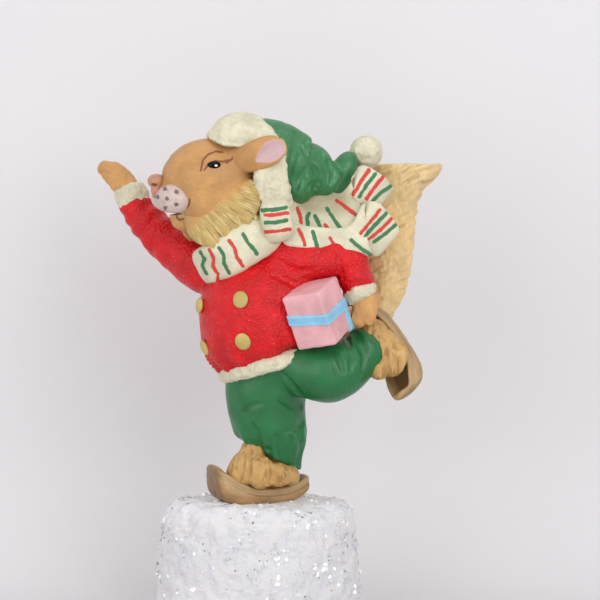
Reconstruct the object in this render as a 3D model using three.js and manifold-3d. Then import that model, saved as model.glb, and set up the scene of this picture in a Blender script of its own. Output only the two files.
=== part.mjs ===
// Skating squirrel figurine on a block of snow, as an assembly of cast and painted pieces.
// Millimetres, +Z up. The origin is the centre of the base's underside.
// The figure skates towards -X and turns its chest to -Y, the side that it is looked at from.
// Left and right are the squirrel's own: its left side is the one towards -Y.
import * as THREE from 'three';
import { mergeVertices } from 'three/addons/utils/BufferGeometryUtils.js';
import Module from 'manifold-3d';

const wasm = await Module();
wasm.setup();

// Driving dimensions, in millimetres and degrees
const GLUE_GAP = 0.3;
const PIN = { diameter: 2, leg: 61, neck: 20, arm: 14, raisedLeg: 12, tail: 15 };
const SNOW = { width: 52, depth: 42, height: 30, shoulder: 7, flare: 1.5, skateSink: 0.6 };
const SKATE = {
  length: 27, width: 11, thickness: 3.4, toeRise: 10.5, toeReach: 8, heelRise: 2.8, heelReach: 6, turn: 20,
};
const FOOT = { length: 17.5, width: 11, height: 9, toes: 4, toeWidth: 4.4, toeSpread: 62, setBack: 1.8 };
const TROUSERS = {
  legLength: 22, seatWidth: 22, kneeWidth: 19.2, ankleWidth: 13, raisedWidth: 14.2, raisedCuffWidth: 10.6,
};
const JACKET = { length: 29, hemWidth: 23, bellyWidth: 33, chestWidth: 30, neckWidth: 13, lean: 3.5 };
const HEM = { width: 22.4, band: 4, thickness: 3.6, tilt: 17, rise: 1 };
const BUTTON = {
  diameter: 4.4, thickness: 1.5, rows: 2, rowGap: 10.8, firstRow: 6.6, columnRise: 2,
  spread: 53, chestTurn: 46,
};
const SLEEVE = { shoulderWidth: 12.6, elbowWidth: 10, wristWidth: 8.2 };
const CUFF = { width: 9.6, band: 4.4 };
const PAW = { length: 11, width: 7.6, thickness: 6.6, fingerWidth: 2.5 };
const GIFT = { width: 10.6, depth: 11.4, height: 13.9, edge: 0.7, pitch: 19, roll: -10, turn: -28 };
const RIBBON = { width: 3.4, thickness: 0.5 };
const HEAD = {
  skullWidth: 24, skullHeight: 24.6, muzzleWidth: 12.5, muzzleHeight: 15.5, snoutReach: 14.5, backReach: 12,
  turn: 10,
};
const JAW = { length: 9, width: 7.4, height: 5 };
const EAR = { length: 11.6, height: 8.8, thickness: 4.6, dish: 1.5, proud: 0.6 };
const EYE = { length: 3.4, height: 2.5, thickness: 2, inset: 1.1 };
const NOSE = { width: 4.6, height: 4, proud: 1.4 };
const WHISKER_PAD = { length: 9.8, height: 7.4, thickness: 6.8 };
const RUFF = { length: 19, height: 17, thickness: 6, inset: 1.2, tufts: 6, tuftLength: 5, tuftWidth: 4.6 };
const BRIM = { diameter: 22, band: 8.2, thickness: 5.6, tilt: 71, browLength: 17.4, browHeight: 9.2 };
const CAP = { rootWidth: 22, bagWidth: 19.6, neckWidth: 9.2, tipWidth: 6 };
const POMPON = { diameter: 8.8 };
const SCARF = {
  diameter: 23, band: 10.4, thickness: 5, tilt: 27, endLength: 28.4, endWidth: 8.4, endThickness: 3,
};
const KNOT = { length: 11, width: 7.4, thickness: 5.4 };
const TAIL = {
  rootWidth: 8.4, brushWidth: 12.2, tipWidth: 13.8, thickness: 12, reach: 24.6, setBack: 7, height: 50.2,
};

// Small helpers for points and angles
const UP = new THREE.Vector3(0, 0, 1);
const TOWARDS_VIEWER = new THREE.Vector3(0, -1, 0);
const radians = THREE.MathUtils.degToRad;
const point = (x, y, z) => new THREE.Vector3(x, y, z);
const from = (start, x, y, z) => start.clone().add(point(x, y, z));
const between = (start, end, share) => start.clone().lerp(end, share);
const along = (start, direction, distance) => start.clone().addScaledVector(direction, distance);
const moved = (position, turn = new THREE.Euler()) =>
  new THREE.Matrix4().makeRotationFromEuler(turn).setPosition(position);

// Pose: how far each landmark lies from the one that carries it
const POSE = {
  soleNear: 1, ankleBack: 2.2, ankleIn: 1.2, waistBack: 1.3, headForward: 9.4, headRise: 3.1,
  raisedDrop: 6, raisedReach: 22.8, raisedOut: 6.5, raisedRise: 16.2,
  giftDrop: 3.6, upperArm: 12, elbowRise: 0.6, forearmBack: 2.6, forearmOut: 1, forearmDrop: 7,
  giftBack: 11.3, giftRise: 13.7, hipRise: 0.6,
  thighBack: 11.2, thighOut: 4, thighDrop: 2.2, shinBack: 9.6, shinIn: 5, shinRise: 6,
  capBack: 20.4, capIn: 5.4, capRise: 2.4, wrapForward: 3, wrapRise: 0.8, knotRise: 6,
};

// Landmarks of the pose
const sole = point(0, -POSE.soleNear, SNOW.height - SNOW.skateSink);
const ankle = from(sole, POSE.ankleBack, POSE.ankleIn, SKATE.thickness + FOOT.height);
const waist = from(ankle, POSE.waistBack, 0, TROUSERS.legLength);
const neck = from(waist, -JACKET.lean, 0, JACKET.length);
const headCentre = from(neck, -POSE.headForward, 0, HEAD.skullHeight / 2 + POSE.headRise);
const raisedShoulder = from(neck, -JACKET.chestWidth * 0.27, JACKET.chestWidth * 0.25, -POSE.raisedDrop);
const raisedWrist = from(raisedShoulder, -POSE.raisedReach, POSE.raisedOut, POSE.raisedRise);
const giftShoulder = from(neck, JACKET.chestWidth / 3, -JACKET.chestWidth * 0.23, -POSE.giftDrop);
const giftElbow = from(giftShoulder, POSE.upperArm, 0, POSE.elbowRise);
const giftWrist = from(giftElbow, POSE.forearmBack, -POSE.forearmOut, -POSE.forearmDrop);
const giftCentre = from(waist, POSE.giftBack, -JACKET.bellyWidth * 0.43, POSE.giftRise);
const hip = from(waist, TROUSERS.seatWidth * 0.18, -TROUSERS.seatWidth * 0.25, POSE.hipRise);
const raisedKnee = from(hip, POSE.thighBack, -POSE.thighOut, -POSE.thighDrop);
const raisedAnkle = from(raisedKnee, POSE.shinBack, POSE.shinIn, POSE.shinRise);
const brimCentre = from(headCentre, HEAD.backReach, 0, HEAD.skullHeight * 0.15);
const capTip = from(brimCentre, POSE.capBack, POSE.capIn, POSE.capRise);
const scarfCentre = from(neck, -POSE.wrapForward, 0, POSE.wrapRise);
const knotCentre = from(scarfCentre, SCARF.diameter * 0.34, -SCARF.diameter * 0.55, POSE.knotRise);
const tailRoot = from(waist, TROUSERS.seatWidth * 0.45, TROUSERS.seatWidth * 0.41, 0);

// Closed shapes. Each takes grow, the glue gap that is added all round for the seat in a neighbour.
const MERGE_TOLERANCE = 1e-4;

function toSolid(geometry) {
  const bare = geometry.index ? geometry.toNonIndexed() : geometry.clone();
  bare.deleteAttribute('normal');
  bare.deleteAttribute('uv');
  const merged = mergeVertices(bare, MERGE_TOLERANCE);
  const index = merged.index.array;
  const triVerts = [];
  for (let i = 0; i < index.length; i += 3) {
    const [a, b, c] = [index[i], index[i + 1], index[i + 2]];
    if (a !== b && b !== c && c !== a) triVerts.push(a, b, c);
  }
  const vertProperties = merged.attributes.position.array;
  const mesh = new wasm.Mesh({ numProp: 3, vertProperties, triVerts: new Uint32Array(triVerts) });
  return new wasm.Manifold(mesh);
}

const station = (at, wide, deep = wide) => ({ at, wide, deep });

// The rings of a loft: points of the spine with their section sizes, and domes that round its two ends.
const DOME_RISES = [0.5, 0.88];
function loftRings(stations, steps, domes, grow) {
  const spine = new THREE.CatmullRomCurve3(stations.map((s) => s.at));
  const sections = stations.map((s) => point(s.wide, s.deep, 0));
  const sizes = new THREE.CatmullRomCurve3(sections, false, 'catmullrom');
  const count = (stations.length - 1) * steps;
  const rings = Array.from({ length: count + 1 }, (_, i) => {
    const size = sizes.getPoint(i / count);
    const tangent = spine.getTangent(i / count);
    return { at: spine.getPoint(i / count), tangent, wide: size.x / 2 + grow, deep: size.y / 2 + grow };
  });
  const dome = (ring, share, sense) => (share ? DOME_RISES : []).map((rise) => {
    const reach = Math.min(ring.wide, ring.deep) * share * rise * sense;
    const shrink = Math.sqrt(1 - rise * rise);
    const at = along(ring.at, ring.tangent, reach);
    return { ...ring, at, wide: ring.wide * shrink, deep: ring.deep * shrink };
  });
  return [...dome(rings[0], domes[0], -1).reverse(), ...rings, ...dome(rings[count], domes[1], 1)];
}

// A closed skin through elliptical sections: width across the spine and across facing, depth along facing.
function loft(stations, { grow, sides = 10, steps = 2, facing = TOWARDS_VIEWER, domes = [0.5, 0.5] }) {
  const rings = loftRings(stations, steps, domes, grow);
  const last = rings.length - 1;
  const positions = [];
  for (const { at, tangent, wide, deep } of rings) {
    const side = facing.clone().cross(tangent).normalize();
    const face = tangent.clone().cross(side);
    for (let j = 0; j < sides; j += 1) {
      const angle = (2 * Math.PI * j) / sides;
      const edge = along(along(at, side, wide * Math.cos(angle)), face, deep * Math.sin(angle));
      positions.push(...edge.toArray());
    }
  }
  const start = rings.length * sides;
  positions.push(...rings[0].at.toArray(), ...rings[last].at.toArray());
  const index = [];
  for (let j = 0; j < sides; j += 1) {
    const next = (j + 1) % sides;
    for (let i = 0; i < last; i += 1) {
      const [a, b, c, d] = [i * sides + j, i * sides + next, (i + 1) * sides + next, (i + 1) * sides + j];
      index.push(a, b, c, a, c, d);
    }
    index.push(start, next, j, start + 1, last * sides + j, last * sides + next);
  }
  const geometry = new THREE.BufferGeometry();
  geometry.setAttribute('position', new THREE.Float32BufferAttribute(positions, 3));
  return toSolid(geometry.setIndex(index));
}

// An ellipsoid by its full sizes along its own axes.
function ball(matrix, [x, y, z], grow, [around, down] = [10, 7]) {
  const geometry = new THREE.SphereGeometry(1, around, down);
  geometry.scale(x / 2 + grow, y / 2 + grow, z / 2 + grow);
  return toSolid(geometry.applyMatrix4(matrix));
}

// A straight round pin, centred on a point.
function pin(middle, direction, length, grow) {
  const radius = PIN.diameter / 2 + grow;
  const geometry = new THREE.CylinderGeometry(radius, radius, length + 2 * grow, 10);
  const turn = new THREE.Quaternion().setFromUnitVectors(point(0, 1, 0), direction.clone().normalize());
  geometry.applyQuaternion(turn);
  return toSolid(geometry.translate(middle.x, middle.y, middle.z));
}

// A ring with an elliptical section, lying flat before it is placed.
function ring(matrix, diameter, band, thickness, grow) {
  const profile = new THREE.EllipseCurve(diameter / 2, 0, thickness / 2 + grow, band / 2 + grow);
  const geometry = new THREE.LatheGeometry(profile.getPoints(6), 17);
  geometry.rotateX(Math.PI / 2);
  return toSolid(geometry.applyMatrix4(matrix));
}

// A flat outline with thickness, centred on its own plane.
function slab(shape, depth, matrix) {
  const geometry = new THREE.ExtrudeGeometry(shape, { depth, bevelEnabled: false, curveSegments: 5 });
  geometry.translate(0, 0, -depth / 2);
  return toSolid(geometry.applyMatrix4(matrix));
}

const joined = (solids) => solids.reduce((all, solid) => all.add(solid));

// Snow block: turned, then drawn out to its oval plan
function snowBase(grow) {
  const { width, height, shoulder, flare } = SNOW;
  const foot = width / 2 + grow;
  const wall = foot - flare;
  const top = height + grow;
  const profile = new THREE.Path();
  profile.moveTo(0, -grow).lineTo(foot, -grow).lineTo(wall, top - shoulder);
  profile.quadraticCurveTo(wall, top, wall - shoulder, top).lineTo(0, top);
  const geometry = new THREE.LatheGeometry(profile.getPoints(4), 26);
  geometry.rotateX(Math.PI / 2);
  geometry.scale(1, SNOW.depth / width, 1);
  return toSolid(geometry);
}

// Skates: a boat-shaped runner, its side outline crossed with its plan. Toe to -X, underside at Z = 0.
function skateSide(grow) {
  const { thickness, toeRise, toeReach, heelRise, heelReach } = SKATE;
  const half = SKATE.length / 2;
  const toe = -half - grow;
  const heel = half + grow;
  const deck = thickness + grow;
  const tip = toeRise + grow;
  const shape = new THREE.Shape();
  const heelBend = half - heelReach;
  const toeBend = toeReach - half;
  shape.moveTo(heel, heelRise - grow).quadraticCurveTo(half - heelReach / 2, -grow, heelBend, -grow);
  shape.lineTo(toeBend, -grow).quadraticCurveTo(toe + thickness / 4, -grow, toe, tip);
  shape.lineTo(thickness * 0.7 - half + grow, tip);
  shape.quadraticCurveTo(thickness - half + grow, deck, toeBend + thickness / 2, deck);
  shape.lineTo(heelBend, deck).quadraticCurveTo(half - heelReach / 2, deck, heel, heelRise + deck);
  return shape;
}

function skatePlan(grow) {
  const half = SKATE.length / 2 + grow;
  const side = SKATE.width / 2 + grow;
  const toe = side * 0.8;
  const shape = new THREE.Shape();
  shape.moveTo(half - side, -side).quadraticCurveTo(half, -side, half, 0);
  shape.quadraticCurveTo(half, side, half - side, side).lineTo(toe - half, toe);
  shape.quadraticCurveTo(-half, toe, -half, 0).quadraticCurveTo(-half, -toe, toe - half, -toe).closePath();
  return shape;
}

function skate(matrix, grow) {
  const upright = new THREE.Matrix4().makeRotationX(Math.PI / 2);
  const tall = 4 * (SKATE.toeRise + SKATE.thickness + grow);
  const side = slab(skateSide(grow), SKATE.width + 2 * grow, upright);
  return side.intersect(slab(skatePlan(grow), tall, new THREE.Matrix4())).transform(matrix.toArray());
}

const groundSkateMatrix = moved(sole, new THREE.Euler(0, 0, radians(SKATE.turn)));

// The raised skate hangs toe down behind the figure, its underside to +X.
function raisedSkateMatrix() {
  const heelward = point(-0.52, 0.2, 0.83).normalize();
  const across = point(-0.63, -0.74, -0.22).cross(heelward).normalize();
  const deckward = heelward.clone().cross(across);
  const underside = along(raisedAnkle, deckward, -SKATE.thickness - FOOT.height * 0.54);
  const matrix = new THREE.Matrix4().makeBasis(heelward, across, deckward);
  return matrix.setPosition(along(underside, heelward, -FOOT.setBack * 1.2));
}
const raisedMatrix = raisedSkateMatrix();

// Furry feet: a body, an instep and a fan of toes, standing on the skate's deck
function foot(matrix, grow) {
  const { length, width, height, toes, toeWidth, toeSpread, setBack } = FOOT;
  const deck = SKATE.thickness;
  const bodyAt = moved(point(setBack, 0, deck + height * 0.42));
  const body = ball(bodyAt, [length * 0.86, width, height * 1.1], grow, [11, 6]);
  const instepAt = moved(point(setBack + length * 0.05, 0, deck + height * 0.75));
  const instep = ball(instepAt, [width, width * 0.85, height], grow);
  const fan = Array.from({ length: toes }, (_, i) => {
    const turn = radians(toeSpread) * (i / (toes - 1) - 0.32);
    const reach = length * 0.4;
    const at = point(setBack - reach * Math.cos(turn), -reach * 0.85 * Math.sin(turn), deck + height * 0.3);
    const toeAt = moved(at, new THREE.Euler(0, 0, turn));
    return ball(toeAt, [toeWidth * 1.7, toeWidth, height * 0.62], grow, [7, 5]);
  });
  return joined([body, instep, ...fan]).transform(matrix.toArray());
}

// Trousers
function standingLeg(grow) {
  const { legLength, seatWidth, kneeWidth, ankleWidth } = TROUSERS;
  const at = (start, back, up) => from(start, legLength * back, 0, legLength * up);
  const stations = [
    station(at(waist, -0.02, 0.18), seatWidth * 0.85),
    station(at(waist, -0.055, -0.09), seatWidth * 0.95),
    station(at(between(waist, ankle, 0.5), -0.036, 0.045), kneeWidth),
    station(at(ankle, 0.077, 0.2), kneeWidth * 0.94),
    station(at(ankle, 0.04, -0.02), ankleWidth),
  ];
  return loft(stations, { sides: 12, domes: [0.4, 0.25], grow });
}

function raisedLeg(grow) {
  const { raisedWidth, raisedCuffWidth } = TROUSERS;
  const stations = [
    station(from(hip, -raisedWidth * 0.14, raisedWidth * 0.14, raisedWidth * 0.035), raisedWidth),
    station(between(hip, raisedKnee, 0.55), raisedWidth * 1.04),
    station(raisedKnee, raisedWidth * 0.96),
    station(between(raisedKnee, raisedAnkle, 0.62), raisedCuffWidth * 1.14),
    station(between(raisedKnee, raisedAnkle, 0.88), raisedCuffWidth),
  ];
  return loft(stations, { sides: 11, facing: UP, domes: [0.5, 0.25], grow });
}

// Jacket: round in section, fullest at the belly, and drawn in at the hem and the neck
const hemCentre = from(waist, 0, 0, HEM.rise);
const hemAxis = UP.clone().applyAxisAngle(point(0, 1, 0), radians(-HEM.tilt));
const jacketStations = [
  station(along(hemCentre, hemAxis, HEM.band * 0.1), JACKET.hemWidth),
  station(along(hemCentre, hemAxis, HEM.band * 1.1), JACKET.bellyWidth * 0.95),
  station(from(between(waist, neck, 0.43), -JACKET.lean * 0.09, 0, 0), JACKET.bellyWidth),
  station(between(waist, neck, 0.7), JACKET.chestWidth),
  station(between(waist, neck, 0.92), JACKET.chestWidth * 0.66),
  station(between(waist, neck, 1.07), JACKET.neckWidth),
];
const jacketBody = (grow) => loft(jacketStations, { sides: 14, domes: [0.15, 0.2], grow });

function jacketHem(grow) {
  const matrix = moved(hemCentre, new THREE.Euler(0, radians(-HEM.tilt), 0));
  return ring(matrix, HEM.width, HEM.band, HEM.thickness, grow);
}

// The jacket's section at a height, from the same rings that its body is lofted through
const SECTION_STEPS = 12;
function jacketSection(z) {
  const rings = loftRings(jacketStations, SECTION_STEPS, [0, 0], 0);
  return rings.reduce((a, b) => (Math.abs(b.at.z - z) < Math.abs(a.at.z - z) ? b : a));
}

// Buttons sit on the jacket in two columns, the inner one a little higher
function button(column, row) {
  const { diameter, thickness, spread, rowGap, firstRow, columnRise, chestTurn } = BUTTON;
  const turn = radians(chestTurn + (column - 0.5) * spread);
  const height = waist.z + firstRow + row * rowGap - column * columnRise;
  const outward = point(-Math.sin(turn), -Math.cos(turn), 0);
  const [low, middle, high] = [-1, 0, 1].map((sense) => {
    const section = jacketSection(height + (sense * diameter) / 2);
    return along(section.at, outward, section.wide);
  });
  const around = outward.clone().cross(UP);
  const normal = around.cross(high.sub(low)).negate().normalize();
  const facing = new THREE.Quaternion().setFromUnitVectors(UP, normal);
  const matrix = new THREE.Matrix4().makeRotationFromQuaternion(facing).setPosition(middle);
  return (grow) => ball(matrix, [diameter, diameter, thickness * 2], grow, [12, 6]);
}

// Fur cuff: a short barrel round a wrist
function cuff(wrist, direction, grow) {
  const { width, band } = CUFF;
  const stations = [
    station(wrist, width * 0.94),
    station(along(wrist, direction, band * 0.5), width),
    station(along(wrist, direction, band), width * 0.9),
  ];
  return loft(stations, { domes: [0.12, 0.12], grow });
}

// Raised arm
const raisedCuffDirection = point(-0.52, 0.1, 0.85).normalize();
const raisedHand = along(raisedWrist, raisedCuffDirection, CUFF.band);

function raisedSleeve(grow) {
  const { shoulderWidth, elbowWidth, wristWidth } = SLEEVE;
  const elbow = from(between(raisedShoulder, raisedWrist, 0.45), -elbowWidth * 0.1, 0, -elbowWidth * 0.24);
  const stations = [
    station(from(raisedShoulder, shoulderWidth * 0.24, -shoulderWidth * 0.12, 0), shoulderWidth),
    station(from(raisedShoulder, -shoulderWidth * 0.32, shoulderWidth * 0.08, 0), shoulderWidth * 0.96),
    station(elbow, elbowWidth),
    station(raisedWrist, wristWidth),
  ];
  return loft(stations, { domes: [0.5, 0.1], grow });
}
const raisedCuff = (grow) => cuff(raisedWrist, raisedCuffDirection, grow);

function raisedPaw(grow) {
  const { length, width, thickness, fingerWidth } = PAW;
  const stations = [
    station(raisedHand, width * 0.74, thickness * 0.74),
    station(from(raisedHand, -length * 0.2, length * 0.04, length * 0.28), width, thickness),
    station(from(raisedHand, -length * 0.5, length * 0.07, length * 0.46), width * 0.88, thickness * 0.9),
    station(from(raisedHand, -length * 0.74, length * 0.09, length * 0.52), width * 0.56, thickness * 0.6),
  ];
  const thumbRoot = from(raisedHand, -length * 0.3, -thickness * 0.4, length * 0.42);
  const thumbAt = moved(thumbRoot, new THREE.Euler(0, -0.8, 0));
  const thumb = ball(thumbAt, [fingerWidth, fingerWidth, fingerWidth * 2], grow, [8, 6]);
  return loft(stations, { domes: [0.2, 0.8], grow }).add(thumb);
}

// Arm that holds the gift
const giftCuffDirection = point(0.42, -0.1, -0.9).normalize();
const giftHand = along(giftWrist, giftCuffDirection, CUFF.band);

function giftSleeve(grow) {
  const { shoulderWidth, elbowWidth, wristWidth } = SLEEVE;
  const stations = [
    station(from(giftShoulder, -shoulderWidth * 0.24, shoulderWidth * 0.16, 0), shoulderWidth * 0.9),
    station(from(giftShoulder, shoulderWidth * 0.24, 0, 0), shoulderWidth * 0.86),
    station(giftElbow, elbowWidth),
    station(from(between(giftElbow, giftWrist, 0.5), elbowWidth * 0.06, 0, 0), elbowWidth * 0.94),
    station(giftWrist, wristWidth),
  ];
  return loft(stations, { domes: [0.6, 0.1], grow });
}
const giftCuff = (grow) => cuff(giftWrist, giftCuffDirection, grow);

function giftPaw(grow) {
  const { width, thickness, fingerWidth } = PAW;
  const palm = ball(moved(from(giftHand, 0, 0, -width * 0.13)), [width * 0.95, thickness, width], grow);
  const fingers = [-1, 0, 1].map((i) => {
    const at = from(giftHand, fingerWidth * (0.24 + i * 0.78), -thickness * 0.24, -width * 0.42);
    return ball(moved(at), [fingerWidth, fingerWidth * 1.3, fingerWidth * 2.4], grow, [7, 5]);
  });
  return joined([palm, ...fingers]);
}

// Gift: a wrapped box, a band of ribbon round its girth and a ribbon end down its far edge
const giftMatrix = moved(
  giftCentre, new THREE.Euler(radians(GIFT.pitch), radians(GIFT.roll), radians(GIFT.turn), 'ZYX'));

function giftBlock([x, y, z], centre, edge) {
  const [w, d] = [x / 2 - edge, y / 2 - edge];
  const shape = new THREE.Shape();
  shape.moveTo(-w, -d).lineTo(w, -d).lineTo(w, d).lineTo(-w, d).closePath();
  const bevel = { bevelEnabled: true, bevelThickness: edge, bevelSize: edge, bevelSegments: 2 };
  const geometry = new THREE.ExtrudeGeometry(shape, { depth: z - 2 * edge, ...bevel });
  geometry.translate(centre.x, centre.y, centre.z + edge - z / 2);
  return toSolid(geometry.applyMatrix4(giftMatrix));
}

function giftBox(grow) {
  const { width, depth, height, edge } = GIFT;
  return giftBlock([width + 2 * grow, depth + 2 * grow, height + 2 * grow], point(0, 0, 0), edge);
}

function giftRibbon(grow) {
  const { width, depth, height } = GIFT;
  const proud = RIBBON.thickness + GLUE_GAP + grow;
  const edge = RIBBON.thickness / 2;
  const band = RIBBON.width + 2 * grow;
  const girth = giftBlock([width + 2 * proud, depth + 2 * proud, band], point(0, 0, 0), edge);
  const [reach, drop] = [width / 2 + proud, height / 2 + grow];
  const endAt = point(reach / 2, depth / 2 - RIBBON.width / 2, -drop / 2);
  return girth.add(giftBlock([reach, band, drop], endAt, edge));
}

// Head and face, in the head's own frame: snout to -X, the two sides mirrored across Y = 0
const headMatrix = moved(headCentre, new THREE.Euler(0, 0, radians(HEAD.turn)));
const inHead = (x, y, z, turn) => headMatrix.clone().multiply(moved(point(x, y, z), turn));
const headPoint = (x, y, z) => point(x, y, z).applyMatrix4(headMatrix);
const LEFT = -1;
const RIGHT = 1;

function head(grow) {
  const { skullWidth, skullHeight, muzzleWidth, muzzleHeight, snoutReach, backReach } = HEAD;
  const stations = [
    station(headPoint(backReach, 0, -skullHeight * 0.02), skullHeight * 0.6, skullWidth * 0.6),
    station(headPoint(backReach * 0.5, 0, 0), skullHeight * 0.94, skullWidth * 0.95),
    station(headPoint(-snoutReach * 0.08, 0, skullHeight * 0.02), skullHeight, skullWidth),
    station(headPoint(-snoutReach * 0.52, 0, skullHeight * 0.03), skullHeight * 0.84, skullWidth * 0.8),
    station(headPoint(-snoutReach * 0.82, 0, muzzleHeight * 0.06), muzzleHeight, muzzleWidth),
    station(headPoint(-snoutReach, 0, muzzleHeight * 0.04), muzzleHeight * 0.5, muzzleWidth * 0.55),
  ];
  const jawAt = inHead(-snoutReach * 0.64, 0, -muzzleHeight * 0.6, new THREE.Euler(0, -0.45, 0));
  const jaw = ball(jawAt, [JAW.length, JAW.width, JAW.height], grow, [10, 7]);
  return loft(stations, { sides: 11, domes: [0.5, 0.5], grow }).add(jaw);
}

function ear(side, grow) {
  const { length, height, thickness, dish } = EAR;
  const { backReach, skullWidth, skullHeight } = HEAD;
  const turn = new THREE.Euler(side * 0.2, -0.34, side * 0.5);
  const matrix = inHead(backReach * 0.8, side * (skullWidth / 2 + EAR.proud), skullHeight * 0.325, turn);
  const shell = ball(matrix, [length, thickness, height], grow, [12, 7]);
  if (grow) return shell;
  const bowl = matrix.clone().multiply(moved(point(length * 0.08, side * dish * 1.25, height * 0.05)));
  return shell.subtract(ball(bowl, [length * 0.72, thickness * 0.8, height * 0.66], 0, [10, 6]));
}

function eye(side, grow) {
  const { snoutReach, skullWidth, skullHeight } = HEAD;
  const turn = new THREE.Euler(0, 0.2, side * 0.28);
  const matrix = inHead(-snoutReach * 0.18, side * (skullWidth / 2 - EYE.inset), skullHeight * 0.21, turn);
  return ball(matrix, [EYE.length, EYE.thickness, EYE.height], grow, [10, 6]);
}

function nose(grow) {
  const { width, height, proud } = NOSE;
  return ball(inHead(-HEAD.snoutReach - proud, 0, height * 0.4), [height, width, height], grow);
}

function whiskerPad(side, grow) {
  const { length, height, thickness } = WHISKER_PAD;
  const turn = new THREE.Euler(0, -0.25, side * -0.3);
  const matrix = inHead(-HEAD.snoutReach * 0.84, side * thickness * 0.56, -height * 0.38, turn);
  return ball(matrix, [length, thickness, height], grow, [12, 7]);
}

// Cheek ruff: a pad of fur with a fringe of pointed tufts along its lower edge
const FRINGE_START = -155;
const FRINGE_SWEEP = 150;
function cheekRuff(side, grow) {
  const { length, height, thickness, inset, tufts, tuftLength, tuftWidth } = RUFF;
  const [x, y, z] = [length * 0.126, side * (HEAD.skullWidth / 2 - inset), -HEAD.skullHeight * 0.285];
  const turn = new THREE.Euler(side * 0.3, 0, side * 0.18);
  const pad = ball(inHead(x, y, z, turn), [length, thickness, height], grow, [12, 7]);
  const fringe = Array.from({ length: tufts }, (_, i) => {
    const angle = radians(FRINGE_START + (FRINGE_SWEEP * i) / (tufts - 1));
    const reach = (past) => {
      const across = Math.cos(angle) * (length / 2 + past);
      const down = Math.sin(angle) * (height / 2 + past);
      return headPoint(x + across, y + side * thickness * 0.2, z + down);
    };
    const root = station(reach(-tuftLength * 0.7), tuftWidth, thickness * 0.6);
    const tip = station(reach(tuftLength * 0.4), tuftWidth * 0.22);
    return loft([root, tip], { sides: 6, steps: 1, domes: [0, 0], grow });
  });
  return joined([pad, ...fringe]);
}

// Stocking cap
// Brim: a fur band that puffs up over the brow
function hatBrim(grow) {
  const { diameter, band, thickness, tilt, browLength, browHeight } = BRIM;
  const matrix = moved(brimCentre, new THREE.Euler(0, radians(tilt), 0));
  const brow = moved(from(brimCentre, -diameter * 0.3, 0, diameter * 0.46));
  const puff = ball(brow, [browLength, diameter, browHeight], grow, [9, 5]);
  return ring(matrix, diameter, band, thickness, grow).add(puff);
}

function hatCap(grow) {
  const { rootWidth, bagWidth, neckWidth, tipWidth } = CAP;
  const stations = [
    station(from(brimCentre, -rootWidth * 0.03, 0, rootWidth * 0.09), rootWidth),
    station(from(brimCentre, rootWidth * 0.2, 0, rootWidth * 0.085), bagWidth),
    station(from(between(brimCentre, capTip, 0.4), 0, 0, -bagWidth * 0.02), bagWidth * 0.84),
    station(from(between(brimCentre, capTip, 0.57), 0, 0, -bagWidth * 0.11), bagWidth * 0.64),
    station(from(between(brimCentre, capTip, 0.8), 0, 0, -bagWidth * 0.21), neckWidth),
    station(capTip, tipWidth),
  ];
  return loft(stations, { sides: 10, domes: [0.3, 0.3], grow });
}

function hatPompon(grow) {
  const { diameter } = POMPON;
  const centre = from(capTip, diameter * 0.5, diameter * 0.16, diameter * 0.32);
  return ball(moved(centre), [diameter, diameter, diameter], grow);
}

// Scarf: a wrap round the neck, a knot at its left side and two ends that fly back from it in waves
function scarfWrap(grow) {
  const matrix = moved(scarfCentre, new THREE.Euler(0, radians(-SCARF.tilt), 0));
  return ring(matrix, SCARF.diameter, SCARF.band, SCARF.thickness, grow);
}

const scarfKnot = (grow) =>
  ball(moved(knotCentre, new THREE.Euler(0, -0.2, 0.4)), [KNOT.width, KNOT.thickness, KNOT.length], grow);

// Each end's strand as places back, inward and up from the knot, and its broad flap's corners back and up,
// all in shares of the end's length
const UPPER_END = {
  strand: [
    [0.08, 0.12, -0.01], [0.3, 0.2, -0.03], [0.52, 0.28, 0], [0.63, 0.31, 0.11], [0.75, 0.31, 0.23],
  ],
  flap: [[0.74, 0.5], [1.05, 0.31], [0.83, 0.11], [0.58, 0.19]],
};
const LOWER_END = {
  strand: [
    [0.09, 0.07, -0.1], [0.35, 0.14, -0.14], [0.62, 0.19, -0.16], [0.87, 0.26, -0.09],
  ],
  flap: [[0.9, 0.15], [1.09, -0.05], [0.83, -0.31], [0.64, -0.14]],
};

function scarfEnd({ strand, flap }, grow) {
  const { endLength, endWidth, endThickness } = SCARF;
  const at = (back, inward, up) => from(knotCentre, endLength * back, endLength * inward, endLength * up);
  const stations = strand.map((place) => station(at(...place), endWidth, endThickness));
  const ribbon = loft(stations, { sides: 8, domes: [0.2, 0.2], grow });
  const places = flap.map((place) => new THREE.Vector2(...place).multiplyScalar(endLength));
  const middle = places.reduce((sum, place) => sum.clone().add(place)).divideScalar(places.length);
  const corners = places.map((place) => {
    const reach = place.clone().sub(middle);
    return reach.setLength(reach.length() + grow);
  });
  const depth = endLength * strand[strand.length - 1][1];
  const upright = moved(from(knotCentre, middle.x, depth, middle.y), new THREE.Euler(Math.PI / 2, 0, 0));
  return ribbon.add(slab(new THREE.Shape(corners), endThickness * 0.8 + 2 * grow, upright));
}

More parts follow.
